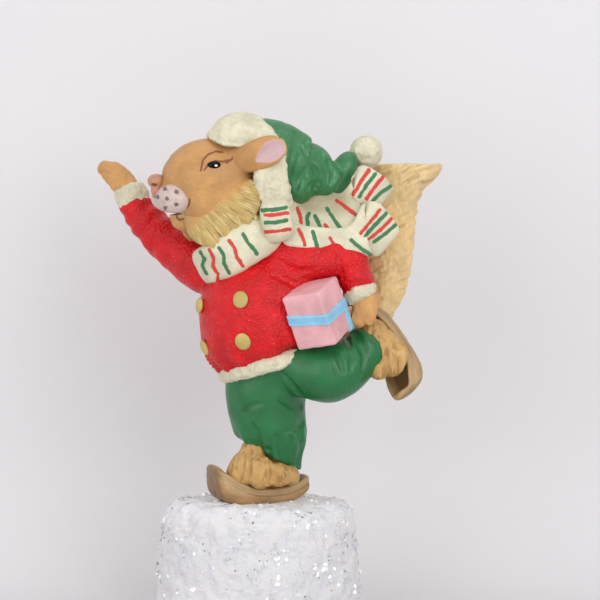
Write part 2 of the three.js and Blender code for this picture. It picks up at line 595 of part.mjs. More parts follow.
// Tail: a brush that rises from the seat and flares to a flat, level top
function tail(grow) {
  const { rootWidth, brushWidth, tipWidth, thickness, reach, setBack, height } = TAIL;
  const at = (back, inward, up) => from(tailRoot, reach * back, setBack * inward, height * up);
  const stations = [
    station(at(0, 0, 0), rootWidth),
    station(at(0.42, 0.5, 0.13), rootWidth * 1.1, thickness * 0.8),
    station(at(0.67, 0.7, 0.3), brushWidth * 0.88, thickness * 0.9),
    station(at(0.79, 0.82, 0.48), brushWidth, thickness),
    station(at(0.87, 0.86, 0.79), brushWidth * 1.06, thickness),
    station(at(0.96, 0.86, 0.91), tipWidth * 0.92, thickness),
    station(at(1.1, 0.86, 1.06), tipWidth * 1.1, thickness * 0.9),
  ];
  const brush = loft(stations, { sides: 10, domes: [0.4, 0], grow });
  const level = at(1, 0, 1).z + grow;
  const top = new THREE.BoxGeometry(4 * reach, 8 * thickness, height);
  top.translate(tailRoot.x + reach, tailRoot.y, level + height / 2);
  return brush.subtract(toSolid(top));
}

// Steel pins that the castings are built up on, each a little off its landmark to stay inside its piece
function innerPin(landmark, [back, inward, up], direction, length) {
  const { diameter } = PIN;
  const middle = from(landmark, diameter * back, diameter * inward, diameter * up);
  return (grow) => pin(middle, direction, length, grow);
}
const pins = {
  leg_rod: innerPin(between(sole, waist, 0.42), [0.1, 0.35, 0], UP, PIN.leg),
  neck_pin: innerPin(between(neck, headCentre, 0.3), [0, 0, 0], headCentre.clone().sub(neck), PIN.neck),
  arm_pin: innerPin(raisedShoulder, [0, 0, 0], point(-0.92, 0.39, 0.04), PIN.arm),
  raised_leg_pin: innerPin(hip, [0.25, 0.35, -0.4], point(0.9, -0.44, -0.05), PIN.raisedLeg),
  tail_pin: innerPin(tailRoot, [-0.25, -0.4, 0], point(0.85, 0.46, 0.26), PIN.tail),
};

// Paints, one material each
const paint = (color, roughness, metalness = 0) =>
  new THREE.MeshStandardMaterial({ color, roughness, metalness });
const paints = {
  steel: paint(0x9a9c9e, 0.35, 1),
  snow: paint(0xe9e9ee, 0.5),
  bronze: paint(0x94764a, 0.45, 0.35),
  fur: paint(0xc8995a, 0.65),
  ruff: paint(0xc9ac68, 0.7),
  tail: paint(0xc7a96e, 0.7),
  ear: paint(0xd9a98c, 0.65),
  nose: paint(0xb9806a, 0.5),
  muzzle: paint(0xe4d6d4, 0.55),
  eye: paint(0x16100e, 0.15),
  red: paint(0xc2242b, 0.55),
  green: paint(0x2a6b40, 0.45),
  cream: paint(0xe2dec9, 0.8),
  gold: paint(0xc4ac5c, 0.45, 0.3),
  pink: paint(0xe0adaf, 0.5),
  blue: paint(0x8dc6e6, 0.5),
};

// The scene graph: the figurine, and a group for each stretch that has its own tilt
const figurine = new THREE.Group();
figurine.name = 'skating_squirrel';

function carrier(name, matrix) {
  const group = new THREE.Group();
  group.name = name;
  group.applyMatrix4(matrix);
  figurine.add(group);
  return group;
}
const headGroup = carrier('head_group', headMatrix);
const giftGroup = carrier('gift_group', giftMatrix);
const groundGroup = carrier('ground_skate_group', groundSkateMatrix);
const raisedGroup = carrier('raised_skate_group', raisedMatrix);

// Every piece with its paint and its group. A piece keeps its own form and seats on those listed before it.
const buttons = Array.from({ length: 2 * BUTTON.rows }, (_, i) =>
  [`jacket_button_${i + 1}`, button(i % 2, Math.floor(i / 2)), paints.gold, figurine]);

const pieces = [
  ...Object.entries(pins).map(([name, shape]) => [name, shape, paints.steel, figurine]),
  ['ground_skate', (grow) => skate(groundSkateMatrix, grow), paints.bronze, groundGroup],
  ['raised_skate', (grow) => skate(raisedMatrix, grow), paints.bronze, raisedGroup],
  ['snow_base', snowBase, paints.snow, figurine],
  ['head', head, paints.fur, headGroup],
  ['left_whisker_pad', (grow) => whiskerPad(LEFT, grow), paints.muzzle, headGroup],
  ['right_whisker_pad', (grow) => whiskerPad(RIGHT, grow), paints.muzzle, headGroup],
  ['nose', nose, paints.nose, headGroup],
  ['left_eye', (grow) => eye(LEFT, grow), paints.eye, headGroup],
  ['right_eye', (grow) => eye(RIGHT, grow), paints.eye, headGroup],
  ['left_ear', (grow) => ear(LEFT, grow), paints.ear, headGroup],
  ['right_ear', (grow) => ear(RIGHT, grow), paints.ear, headGroup],
  ['jacket_hem', jacketHem, paints.cream, figurine],
  ['jacket_body', jacketBody, paints.red, figurine],
  ['raised_sleeve', raisedSleeve, paints.red, figurine],
  ['gift_sleeve', giftSleeve, paints.red, figurine],
  ['scarf_wrap', scarfWrap, paints.cream, figurine],
  ['scarf_knot', scarfKnot, paints.cream, figurine],
  ['hat_brim', hatBrim, paints.cream, headGroup],
  ['left_cheek_ruff', (grow) => cheekRuff(LEFT, grow), paints.ruff, headGroup],
  ['right_cheek_ruff', (grow) => cheekRuff(RIGHT, grow), paints.ruff, headGroup],
  ['hat_cap', hatCap, paints.green, headGroup],
  ['hat_pompon', hatPompon, paints.cream, headGroup],
  ['scarf_end_upper', (grow) => scarfEnd(UPPER_END, grow), paints.cream, figurine],
  ['scarf_end_lower', (grow) => scarfEnd(LOWER_END, grow), paints.cream, figurine],
  ['raised_cuff', raisedCuff, paints.cream, figurine],
  ['raised_paw', raisedPaw, paints.fur, figurine],
  ['gift_cuff', giftCuff, paints.cream, figurine],
  ['gift_box', giftBox, paints.pink, giftGroup],
  ['gift_ribbon', giftRibbon, paints.blue, giftGroup],
  ['gift_paw', giftPaw, paints.fur, figurine],
  ...buttons,
  ['trousers_standing_leg', standingLeg, paints.green, figurine],
  ['trousers_raised_leg', raisedLeg, paints.green, figurine],
  ['ground_foot', (grow) => foot(groundSkateMatrix, grow), paints.fur, groundGroup],
  ['raised_foot', (grow) => foot(raisedMatrix, grow), paints.fur, raisedGroup],
  ['tail', tail, paints.tail, figurine],
];

// What is left of a shape once its neighbours' seats are cut out of it, without loose crumbs
function boxesMeet(a, b) {
  const [p, q] = [a.boundingBox(), b.boundingBox()];
  return [0, 1, 2].every((k) => p.min[k] < q.max[k] && q.min[k] < p.max[k]);
}

function seated(shape, seats) {
  const touching = seats.filter((seat) => boxesMeet(shape, seat));
  const cut = touching.reduce((rest, seat) => rest.subtract(seat), shape);
  return cut.decompose().reduce((a, b) => (b.volume() > a.volume() ? b : a));
}

// A solid in the figurine's frame, as a mesh in its group's own frame
function toMesh(name, solid, material, group) {
  const inGroup = solid.transform(group.matrix.clone().invert().toArray());
  const { vertProperties, triVerts } = inGroup.getMesh();
  const geometry = new THREE.BufferGeometry();
  geometry.setAttribute('position', new THREE.BufferAttribute(vertProperties, 3));
  geometry.setIndex(new THREE.BufferAttribute(triVerts, 1));
  geometry.computeVertexNormals();
  const mesh = new THREE.Mesh(geometry, material);
  mesh.name = name;
  return mesh;
}

const seats = [];
for (const [name, shape, material, group] of pieces) {
  group.add(toMesh(name, seated(shape(0), seats), material, group));
  seats.push(shape(GLUE_GAP));
}

export default figurine;
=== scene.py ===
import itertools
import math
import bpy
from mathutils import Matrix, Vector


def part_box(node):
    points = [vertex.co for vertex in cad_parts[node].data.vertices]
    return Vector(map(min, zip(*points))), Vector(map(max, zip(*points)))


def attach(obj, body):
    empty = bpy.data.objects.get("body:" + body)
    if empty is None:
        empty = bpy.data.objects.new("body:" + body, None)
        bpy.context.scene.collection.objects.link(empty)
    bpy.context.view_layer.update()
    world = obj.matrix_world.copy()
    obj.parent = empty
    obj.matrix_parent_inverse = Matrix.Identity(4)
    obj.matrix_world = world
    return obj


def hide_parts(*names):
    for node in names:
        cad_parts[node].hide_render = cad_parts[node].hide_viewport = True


bl_info = {
    "name": "Skating squirrel figurine",
    "version": (1, 0, 0),
    "blender": (4, 5, 0),
    "location": "View3D > Sidebar > Squirrel",
    "description": "Models and paints a cast squirrel on a skate, piece by piece, round its packed CAD frame",
    "category": "Object",
}

import bpy
import numpy as np
from mathutils import Euler, Vector

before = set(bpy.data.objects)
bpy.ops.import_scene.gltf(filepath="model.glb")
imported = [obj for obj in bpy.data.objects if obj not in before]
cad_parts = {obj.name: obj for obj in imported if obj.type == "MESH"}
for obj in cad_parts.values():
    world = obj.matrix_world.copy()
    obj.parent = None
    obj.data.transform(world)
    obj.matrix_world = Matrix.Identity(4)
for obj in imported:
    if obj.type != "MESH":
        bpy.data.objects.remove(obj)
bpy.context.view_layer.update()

MM = 0.001
NEAR = np.array((0.0, -1.0, 0.0))
UP = np.array((0.0, 0.0, 1.0))

# The photo's view: what its middle shows, and mm to a pixel there
VIEW_TARGET = np.array((10.5, 0.0, 80.0))
VIEW_DISTANCE = 600.0
VIEW_RISE = math.radians(3.0)
PHOTO_PIXEL = 0.25
PHOTO_MIDDLE = 300.0


def seen(across, down, depth):
    """The frame point, in mm, that a pixel of the photo shows at a depth along +Y."""
    scale = PHOTO_PIXEL * (1 + depth / VIEW_DISTANCE)
    return np.array((
        VIEW_TARGET[0] + (across - PHOTO_MIDDLE) * scale,
        depth,
        VIEW_TARGET[2] - (down - PHOTO_MIDDLE) * scale - math.tan(VIEW_RISE) * depth,
    ))


def seen_rows(*rows):
    """Stations of a Limb from rows of two pixels, a depth and half sizes."""
    return [(*seen(*row[:3]), *row[3:]) for row in rows]


def seen_line(depth, *pixels):
    """Frame points that pixels of the photo show at one depth."""
    return [seen(*pixel, depth) for pixel in pixels]


def unit(rows):
    """Rows of vectors, each made one long."""
    return rows / np.maximum(np.linalg.norm(rows, axis=-1, keepdims=True), 1e-9)


def ease(values, low, high):
    """0 below low, 1 above high and a smooth step between."""
    share = np.clip((values - low) / (high - low), 0.0, 1.0)
    return share * share * (3 - 2 * share)


def spline(rows, closed=False, per_span=12):
    """A smooth run of rows through given rows."""
    rows = np.array(rows, float)
    if closed:
        padded = np.vstack((rows[-1:], rows, rows[:2]))
    else:
        padded = np.vstack((2 * rows[0] - rows[1], rows, 2 * rows[-1] - rows[-2]))
    share = np.linspace(0, 1, per_span, endpoint=False)[:, None]
    spans = []
    for a, b, c, d in zip(padded, padded[1:], padded[2:], padded[3:]):
        bend = 2 * a - 5 * b + 4 * c - d
        spans.append(b + 0.5 * share * (c - a + share * (bend + share * (3 * b - a - 3 * c + d))))
    if not closed:
        spans.append(rows[-1:])
    return np.vstack(spans)


def profile(values, knots):
    """A smooth curve through (place, size) knots, read at values."""
    rows = spline(knots)
    return np.interp(values, rows[:, 0], rows[:, 1])


def lumps(points, size, seed=0):
    """Smooth noise from -1 to 1 with features of a size in mm."""
    place = points / size + 31.7 * seed
    cell = np.floor(place).astype(np.int64)
    part = place - cell
    part = part * part * (3 - 2 * part)
    total = np.zeros(len(points))
    for corner in itertools.product((0, 1), repeat=3):
        x, y, z = (cell + corner).T
        mixed = (x * 73856093) ^ (y * 19349663) ^ (z * 83492791)
        mixed = (mixed ^ (mixed >> 13)) * 1274126177
        value = ((mixed >> 8) & 0xFFFF) / 32767.5 - 1
        weight = np.prod(np.where(corner, part, 1 - part), axis=1)
        total += value * weight
    return total


def soft_least(a, b, soft):
    """The lesser of two arrays, rounded where they are about equal."""
    share = np.clip(0.5 + 0.5 * (b - a) / soft, 0, 1)
    return b + (a - b) * share - soft * share * (1 - share)


def soft_most(soft, *arrays):
    """The greatest of arrays, rounded where two are about equal."""
    total = -arrays[0]
    for other in arrays[1:]:
        total = soft_least(total, -other, soft)
    return -total


def melt(soft, *fields):
    """The union of fields, with fillets of about a given size."""
    def field(points):
        total = fields[0](points)
        for other in fields[1:]:
            total = soft_least(total, other(points), soft)
        return total
    return field


def carve(field, tool, soft):
    """A field with another cut out of it."""
    return lambda points: -soft_least(-field(points), tool(points), soft)


def within(field, other, soft):
    """What two fields share."""
    return lambda points: -soft_least(-field(points), -other(points), soft)


def grown(field, amount):
    """A field moved outward by an amount."""
    return lambda points: field(points) - amount


def half_space(point, outward):
    """All that lies behind a plane."""
    outward = unit(np.array(outward, float))
    return lambda points: (points - np.array(point)) @ outward


def turned(x=0.0, y=0.0, z=0.0):
    """A turn about the axes, in degrees, as a matrix whose columns are the turned axes."""
    return np.array(Euler([math.radians(a) for a in (x, y, z)]).to_matrix())


def ball(centre, radii, turn=np.eye(3)):
    """An ellipsoid."""
    radii = np.array(radii, float) * np.ones(3)

    def field(points):
        place = (points - np.array(centre)) @ turn
        near = np.linalg.norm(place / radii, axis=1)
        steep = np.linalg.norm(place / radii ** 2, axis=1)
        return near * (near - 1) / np.maximum(steep, 1e-9)
    return field


def block(centre, half, rounding, turn=np.eye(3)):
    """A box with rounded edges."""
    def field(points):
        past = np.abs((points - np.array(centre)) @ turn) - np.array(half) + rounding
        outside = np.linalg.norm(np.maximum(past, 0), axis=1)
        return outside + np.minimum(past.max(axis=1), 0) - rounding
    return field


RING_STATIONS = 12


def ring(centre, axis, radius, radial, axial):
    """Stations of a hoop, for a closed Limb that faces along the axis."""
    axis = unit(np.array(axis, float))
    start = -UP
    first = unit(start - axis * (start @ axis))
    second = np.cross(axis, first)
    turns = np.arange(RING_STATIONS) * 2 * np.pi / RING_STATIONS
    spots = [centre + radius * (math.cos(a) * first + math.sin(a) * second) for a in turns]
    return [(*spot, radial, axial) for spot in spots]


LEAST_HALF = 0.1


class Limb:
    """A rounded form along a spine: stations are (x, y, z, half width) or (..., half width, half depth)."""

    def __init__(self, stations, facing=NEAR, closed=False, ends=1.0, square=2.0, relief=None, per_span=12):
        rows = spline([(*s, s[3]) if len(s) == 4 else s for s in stations], closed, per_span)
        self.at = rows[:, :3]
        self.half = rows[:, 3:]
        following = np.roll(rows, -1, 0)
        before = np.roll(rows, 1, 0)
        if not closed:
            following[-1] = rows[-1]
            before[0] = rows[0]
        step = following - before
        spacing = np.linalg.norm(step[:, :3], axis=1, keepdims=True)
        self.ahead = step[:, :3] / spacing
        self.taper = step[:, 3:] / spacing
        self.side = unit(np.cross(facing, self.ahead))
        self.face = np.cross(self.ahead, self.side)
        self.run = np.concatenate(([0.0], np.cumsum(np.linalg.norm(np.diff(self.at, axis=0), axis=1))))
        self.closed = closed
        self.ends = ends
        self.square = square
        self.relief = relief

    def locate(self, points):
        """Each point's place along the spine, to its side and face, past its ends, and the half sizes."""
        near = ((self.at ** 2).sum(1) - 2 * points @ self.at.T).argmin(1)
        offset = points - self.at[near]
        side, face, ahead = ((offset * way[near]).sum(1) for way in (self.side, self.face, self.ahead))
        past = np.zeros(len(points))
        if not self.closed:
            at_end = (near == 0) & (ahead < 0) | (near == len(self.at) - 1) & (ahead > 0)
            past[at_end] = ahead[at_end]
        half = np.maximum(self.half[near] + self.taper[near] * (ahead - past)[:, None], LEAST_HALF)
        return self.run[near] + ahead - past, side, face, past, half

    def __call__(self, points):
        along, side, face, past, half = self.locate(points)
        small = half.min(1)
        power = self.square
        reach = (np.abs(side / half[:, 0]) ** power + np.abs(face / half[:, 1]) ** power) ** (1 / power)
        reach = np.hypot(reach, past / (small * self.ends))
        field = (reach - 1) * small
        if self.relief:
            field = field - self.relief(points, along, np.arctan2(face, side))
        return field


def nearby(limb, margin=2.0):
    """A limb that is worked out only for points near it; further off it is only known to be far."""
    centre = limb.at.mean(0)
    radius = np.linalg.norm(limb.at - centre, axis=1).max() + limb.half.max()

    def field(points):
        away = np.linalg.norm(points - centre, axis=1) - radius
        close = away < margin
        away[close] = limb(points[close])
        return away
    return field


# Depths, in mm, at which a pixel's line of sight is tried
LOOK_DEPTHS = np.arange(-30.0, 30.0, 0.1)


def on_surface(field, across, down):
    """The frame point where a pixel of the photo first meets a field, or comes nearest to it."""
    ray = np.array([seen(across, down, depth) for depth in LOOK_DEPTHS])
    away = field(ray)
    return ray[np.argmax(away < 0) if away.min() < 0 else np.argmin(away)]


def creased(field, lines, soft=0.5):
    """A field with soft folds pressed into it along lines of (pixel across, pixel down, half width in mm)."""
    cuts = []
    for line in lines:
        spots = np.array([on_surface(field, across, down) for across, down, half in line])
        half = np.array([(half,) for across, down, half in line])
        spine = np.hstack((spots + slope(field, spots) * 0.75 * half, 1.25 * half))
        cuts.append(nearby(Limb(spine, per_span=6)))
    return carve(field, melt(0.3, *cuts), soft)


# Fine steps in a rough one, the rough steps worked out finely beside a surface, and points at a time
BLOCK = 4
BAND = 1.6
CHUNK = 120000


def in_chunks(field, points):
    """A field's values, worked out for some of the points at a time."""
    return np.concatenate([field(points[i:i + CHUNK]) for i in range(0, len(points), CHUNK)])


def sample(field, low, high, step):
    """A field on a grid, fine only near its surface, and the grid's first point."""
    count = np.ceil((high - low) / (step * BLOCK)).astype(int) + 1
    axes = [low[i] + (np.arange(count[i]) + 0.5) * step * BLOCK for i in range(3)]
    rough = in_chunks(field, np.stack(np.meshgrid(*axes, indexing="ij"), -1).reshape(-1, 3)).reshape(count)
    grid = rough
    for axis in range(3):
        grid = np.repeat(grid, BLOCK, axis)
    index = np.argwhere(np.abs(grid) < step * BLOCK * BAND)
    first = low + step / 2
    grid[tuple(index.T)] = in_chunks(field, first + index * step)
    for axis in range(3):
        edge = np.moveaxis(grid, axis, 0)
        edge[0] = np.maximum(edge[0], step)
        edge[-1] = np.maximum(edge[-1], step)
    return grid, first


def surface_net(grid, first, step):
    """Points and quads of the surface where a grid changes sign."""
    inside = grid < 0
    shape = np.array(grid.shape) - 1
    corners = list(itertools.product((0, 1), repeat=3))
    count = sum(inside[tuple(slice(c, c + n) for c, n in zip(k, shape))].astype(np.int8) for k in corners)
    cells = np.argwhere((count > 0) & (count < 8))
    total = np.zeros((len(cells), 3))
    hits = np.zeros((len(cells), 1))
    for start, stop in itertools.combinations(np.array(corners), 2):
        if np.abs(stop - start).sum() == 1:
            a = grid[tuple((cells + start).T)]
            b = grid[tuple((cells + stop).T)]
            cross = (a < 0) != (b < 0)
            share = np.where(cross, a / np.where(cross, a - b, 1), 0)
            total += np.where(cross[:, None], start + share[:, None] * (stop - start), 0)
            hits += cross[:, None]
    points = first + (cells + total / hits) * step
    number = np.full(shape, -1, np.int64)
    number[tuple(cells.T)] = np.arange(len(cells))
    quads = []
    for axis in range(3):
        others = [(axis + 1) % 3, (axis + 2) % 3]
        u, v = np.eye(3, dtype=int)[others]
        low = np.moveaxis(inside, axis, 0)
        change = np.argwhere(np.moveaxis(low[:-1] != low[1:], 0, axis))
        change = change[change[:, others].min(axis=1) > 0]
        change = change[(change[:, others] < shape[others]).all(1)]
        round_edge = [number[tuple((change - d).T)] for d in (u + v, v, np.zeros(3, int), u)]
        quad = np.stack(round_edge, 1)
        flip = ~inside[tuple(change.T)]
        quad[flip] = quad[flip][:, ::-1]
        quads.append(quad)
    return points, np.vstack(quads)


SLOPE_REACH = 0.08


def slope(field, points):
    """Outward unit vectors of a field."""
    ways = np.eye(3) * SLOPE_REACH
    return unit(np.stack([in_chunks(field, points + w) - in_chunks(field, points - w) for w in ways], 1))


def link(name, points, faces):
    """A mesh object in the scene from points in mm."""
    mesh = bpy.data.meshes.new(name)
    mesh.from_pydata((points * MM).tolist(), [], [list(f) for f in faces])
    mesh.polygons.foreach_set("use_smooth", [True] * len(mesh.polygons))
    mesh.update()
    piece = bpy.data.objects.new(name, mesh)
    bpy.context.scene.collection.objects.link(piece)
    return piece


def note(piece, **marks):
    """Numbers kept at each point of a piece, for its paint."""
    for name, values in marks.items():
        kept = piece.data.attributes.new(name, "FLOAT", "POINT")
        kept.data.foreach_set("value", np.asarray(values, np.float32))


def gritty(height, size, seed):
    """A grain for sculpt: lumps of a height and a size in mm."""
    return lambda points: height * lumps(points, size, seed)


def box_of(margin, *nodes):
    """The corners, in mm, of a box round CAD nodes with a margin."""
    boxes = [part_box(n) for n in nodes]
    low = np.min([np.array(b[0]) for b in boxes], 0) / MM
    high = np.max([np.array(b[1]) for b in boxes], 0) / MM
    return low - margin, high + margin


def sculpt(name, field, margin, step, nodes=None, reach=0.9, grain=None):
    """A piece along a field's surface, within a margin of its CAD nodes; also its points and outward vectors.

    Its marks are hollow, from 0 on open ground to 1 deep in a groove, and crest, which grows on ridges."""
    low, high = box_of(margin, *(nodes or (name,)))
    grid, first = sample(field, low, high, step)
    points, quads = surface_net(grid, first, step)
    outward = slope(field, points)
    points = points - outward * np.clip(in_chunks(field, points), -step, step)[:, None]
    hollow = np.clip(1 - in_chunks(field, points + outward * reach) / reach, 0, 1)
    crest = np.clip(1 + in_chunks(field, points - outward * reach) / reach, 0, 1)
    if grain:
        points = points + outward * grain(points)[:, None]
    piece = link(name, points, quads)
    note(piece, hollow=hollow, crest=crest)
    return piece, points, outward


def place(piece, slot, paint, *nodes):
    """Makes a finished piece part of the figure in place of CAD nodes."""
    piece.data.materials.clear()
    piece.data.materials.append(paint)
    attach(piece, "root")
    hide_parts(*nodes)


def cast(name, field, slot, paint, margin, step, nodes=None, grain=None):
    """A sculpted piece with no marks of its own, in place of its CAD nodes."""
    piece = sculpt(name, field, margin, step, nodes, grain=grain)[0]
    place(piece, slot, paint, *(nodes or (name,)))


def near_line(points, line, flat=False):
    """Distances, in mm, from points to a line of points; flat leaves depth out."""
    keep = [0, 2] if flat else [0, 1, 2]
    points = points[:, keep]
    line = np.array(line, float)[:, keep]
    least = np.full(len(points), 1e3)
    for a, b in zip(line, line[1:]):
        way = b - a
        share = np.clip((points - a) @ way / max(way @ way, 1e-9), 0, 1)
        least = np.minimum(least, np.linalg.norm(points - a - share[:, None] * way, axis=1))
    return least


def linear(code):
    """A colour as Blender keeps it, from a six-figure web code."""
    parts = [int(code[i:i + 2], 16) / 255 for i in (0, 2, 4)]
    return tuple(p / 12.92 if p <= 0.04045 else ((p + 0.055) / 1.055) ** 2.4 for p in parts)


class Flow:
    """A socket of a node tree; arithmetic on it adds the nodes that work it out."""

    def __init__(self, tree, socket):
        self.tree = tree
        self.socket = socket

    def math(self, operation, *values):
        """One step of arithmetic."""
        return self.tree.node("ShaderNodeMath", {"operation": operation}, dict(enumerate(values)))

    def __add__(self, other):
        return self.math("ADD", self, other)

    def __sub__(self, other):
        return self.math("SUBTRACT", self, other)

    def __rsub__(self, other):
        return self.math("SUBTRACT", other, self)

    def __mul__(self, other):
        return self.math("MULTIPLY", self, other)

    def __truediv__(self, other):
        return self.math("DIVIDE", self, other)

    def __rtruediv__(self, other):
        return self.math("DIVIDE", other, self)

    __radd__ = __add__
    __rmul__ = __mul__

    def most(self, other):
        """The greater of two numbers."""
        return self.math("MAXIMUM", self, other)

    def step(self, low, high):
        """0 below low and 1 above high, smooth between; low may be the greater."""
        sockets = {"Value": self, "From Min": low, "From Max": high}
        return self.tree.node("ShaderNodeMapRange", {"interpolation_type": "SMOOTHSTEP"}, sockets)


class Tree:
    """A node tree that is being written."""

    def __init__(self, nodes):
        self.nodes = nodes

    def node(self, kind, settings=None, sockets=None, output=0):
        """Adds a node: its settings first, then what goes into its sockets; gives one of its outputs."""
        made = self.nodes.nodes.new(kind)
        for name, value in (settings or {}).items():
            setattr(made, name, value)
        for name, value in (sockets or {}).items():
            if isinstance(value, Flow):
                self.nodes.links.new(value.socket, made.inputs[name])
            else:
                made.inputs[name].default_value = value
        return Flow(self, made.outputs[output]) if made.outputs else None


class Paint(Tree):
    """A material on the principled shader."""

    def __init__(self, name):
        self.material = bpy.data.materials.new(name)
        self.material.use_nodes = True
        super().__init__(self.material.node_tree)
        self.nodes.nodes.clear()
        self.place = self.node("ShaderNodeTexCoord", output="Object")

    def mark(self, name):
        """A number kept at the points of the mesh."""
        return self.node("ShaderNodeAttribute", {"attribute_name": name}, output="Fac")

    def noise(self, size, detail=2.0, rough=0.5, stretch=None):
        """Noise from 0 to 1 with features of a size in mm, drawn out along an axis if stretch says so."""
        where = self.place
        if stretch:
            where = self.node("ShaderNodeMapping", {}, {"Vector": where, "Scale": stretch})
        sockets = {"Vector": where, "Scale": 1 / (size * MM), "Detail": detail, "Roughness": rough}
        return self.node("ShaderNodeTexNoise", {}, sockets)

    def streaks(self, across, along, size, length):
        """Noise over two kept numbers in mm: narrow over the first and drawn out over the second."""
        sockets = {0: self.mark(across) / size, 1: self.mark(along) / length}
        where = self.node("ShaderNodeCombineXYZ", {}, sockets)
        return self.node("ShaderNodeTexNoise", {}, {"Vector": where, "Scale": 1.0, "Detail": 2.0})

    def ragged(self, name, size, amount, detail=2.0):
        """A kept number made uneven, by an amount, with noise of a size in mm."""
        return self.mark(name) + (self.noise(size, detail) - 0.5) * amount

    def cells(self, size):
        """Distances to scattered points about a size apart, in mm."""
        sockets = {"Vector": self.place, "Scale": 1 / (size * MM)}
        return self.node("ShaderNodeTexVoronoi", {}, sockets, output="Distance")

    def mix(self, share, first, second):
        """One colour laid over another."""
        first, second = ((*c, 1) if isinstance(c, tuple) and len(c) == 3 else c for c in (first, second))
        sockets = {0: share, 6: first, 7: second}
        return self.node("ShaderNodeMix", {"data_type": "RGBA"}, sockets, output=2)

    def bump(self, height, depth, normal=None):
        """A normal for a height from 0 to 1 over a depth in mm."""
        sockets = {"Height": height, "Distance": depth * MM, "Strength": 1.0}
        if normal:
            sockets["Normal"] = normal
        return self.node("ShaderNodeBump", {}, sockets)

    def done(self, **sockets):
        """Ends the material: principled shader sockets by name."""
        sockets = {k.replace("_", " "): v for k, v in sockets.items()}
        sockets = {k: (*v, 1) if isinstance(v, tuple) and len(v) == 3 else v for k, v in sockets.items()}
        shader = self.node("ShaderNodeBsdfPrincipled", {}, sockets)
        self.node("ShaderNodeOutputMaterial", {}, {"Surface": shader})
        return self.material


def shade(colour, amount):
    """A colour made darker, or lighter with an amount above 1."""
    return tuple(min(c * amount, 1.0) for c in colour)


class Resin(Paint):
    """Hand-laid paint over cast resin: mottled colour, a dark wash with painted shade in grooves, and ridges
    dry-brushed light as painted highlights.
    """

    def __init__(self, name, colour, wash, wash_amount=0.7, dry=None, dry_amount=0.4, mottle=0.12, grit=0.05,
                 grit_size=0.35, gloss=0.5, brush=None):
        super().__init__(name)
        broad = self.noise(5.0, 3.0)
        fine = self.noise(grit_size, 2.0, 0.6, brush)
        self.tone = self.mix(broad.step(0.3, 0.7), shade(colour, 1 - mottle), shade(colour, 1 + mottle))
        self.lay(fine.step(0.35, 0.75) * 0.35, shade(colour, 0.72))
        # Grooves darkened: a paint wash that is also painted shade
        self.lay((self.mark("hollow") * (0.6 + broad * 0.8)).step(0.12, 0.75) * wash_amount, wash)
        # Ridges lightened: dry-brushing that is also a painted highlight
        light = dry or shade(colour, 1.35)
        self.lay((self.mark("crest") * (0.4 + fine)).step(0.12, 0.6) * dry_amount, light)
        self.rough = (broad - 0.5) * 0.2 + (fine - 0.5) * 0.2 + gloss
        self.normal = self.bump(fine, grit)

    def lay(self, share, colour):
        """Lays another colour over the paint, by a share from 0 to 1."""
        self.tone = self.mix(share, self.tone, colour)

    def finish(self, **sockets):
        """Ends the material with its paint as it is now."""
        return self.done(Base_Color=self.tone, Roughness=self.rough, Normal=self.normal, **sockets)


HEAD_AT = np.array((-9.4, 0.0, 108.2))
HEAD_TURN = turned(z=10.0)


def on_head(x, y, z):
    """A frame point from the head's own axes: the nose is to -X and the near cheek to -Y."""
    return HEAD_AT + np.array((x, y, z)) @ HEAD_TURN.T


def mirrored(field):
    """A field on the head's near side, seen on its far side."""
    def other(points):
        local = (points - HEAD_AT) @ HEAD_TURN
        return field((local * (1, -1, 1)) @ HEAD_TURN.T + HEAD_AT)
    return other


def as_is(field):
    """A field on the head's near side, left there."""
    return field


SIDES = (("left_", as_is), ("right_", mirrored))


def head_ball(centre, radii):
    """An ellipsoid in the head's own axes."""
    return ball(on_head(*centre), radii, HEAD_TURN)


def both(centre, radii):
    """The same ellipsoid on both sides of the head."""
    x, y, z = centre
    return head_ball(centre, radii), head_ball((x, -y, z), radii)


EYE_DEPTH = -10.6
MUZZLE_DEPTH = -8.0
# Painted lines round the eye, the whisker pad and the mouth's corner
LID_LINES = (
    seen_line(EYE_DEPTH, (204.5, 170.3), (209.2, 164.3), (215.9, 160.9), (222.6, 161.9), (232.0, 159.6)),
    seen_line(EYE_DEPTH, (201.2, 171.0), (203.2, 160.3), (207.9, 154.9), (215.9, 151.6), (222.6, 152.5)),
    seen_line(EYE_DEPTH, (226.6, 162.9), (232.0, 159.6), (234.6, 152.2)),
    seen_line(MUZZLE_DEPTH, (190.5, 199.0), (189.5, 205.0), (184.5, 210.5), (176.0, 213.5)),
    seen_line(MUZZLE_DEPTH, (176.0, 213.5), (176.5, 218.0), (179.5, 220.5), (183.0, 219.0)),
)
WHISKER_DOTS = seen_line(
    MUZZLE_DEPTH, (165.7, 189.0), (177.3, 191.7), (168.0, 198.8), (158.3, 197.0), (177.3, 204.2),
    (165.7, 207.8))

EAR_SPINE = seen_rows(
    (238, 160, -8.2, 3.2, 2.2), (250, 158, -11.6, 3.6, 2.0), (263, 153, -13.9, 3.8, 1.7),
    (275, 149, -14.6, 3.4, 1.5), (281.5, 147.5, -14.4, 2.3, 1.3))
EAR_DISH = Limb(seen_rows(
    (258, 160.5, -15.6, 0.8, 0.9), (266, 155.5, -16.1, 2.0, 1.5), (275, 150, -16.4, 2.4, 1.5),
    (281, 148, -16.0, 1.8, 1.1)))
NEAR_EAR = carve(Limb(EAR_SPINE), EAR_DISH, 0.5)
EAR_ROOT = grown(carve(Limb(EAR_SPINE[:3]), EAR_DISH, 0.5), -0.3)

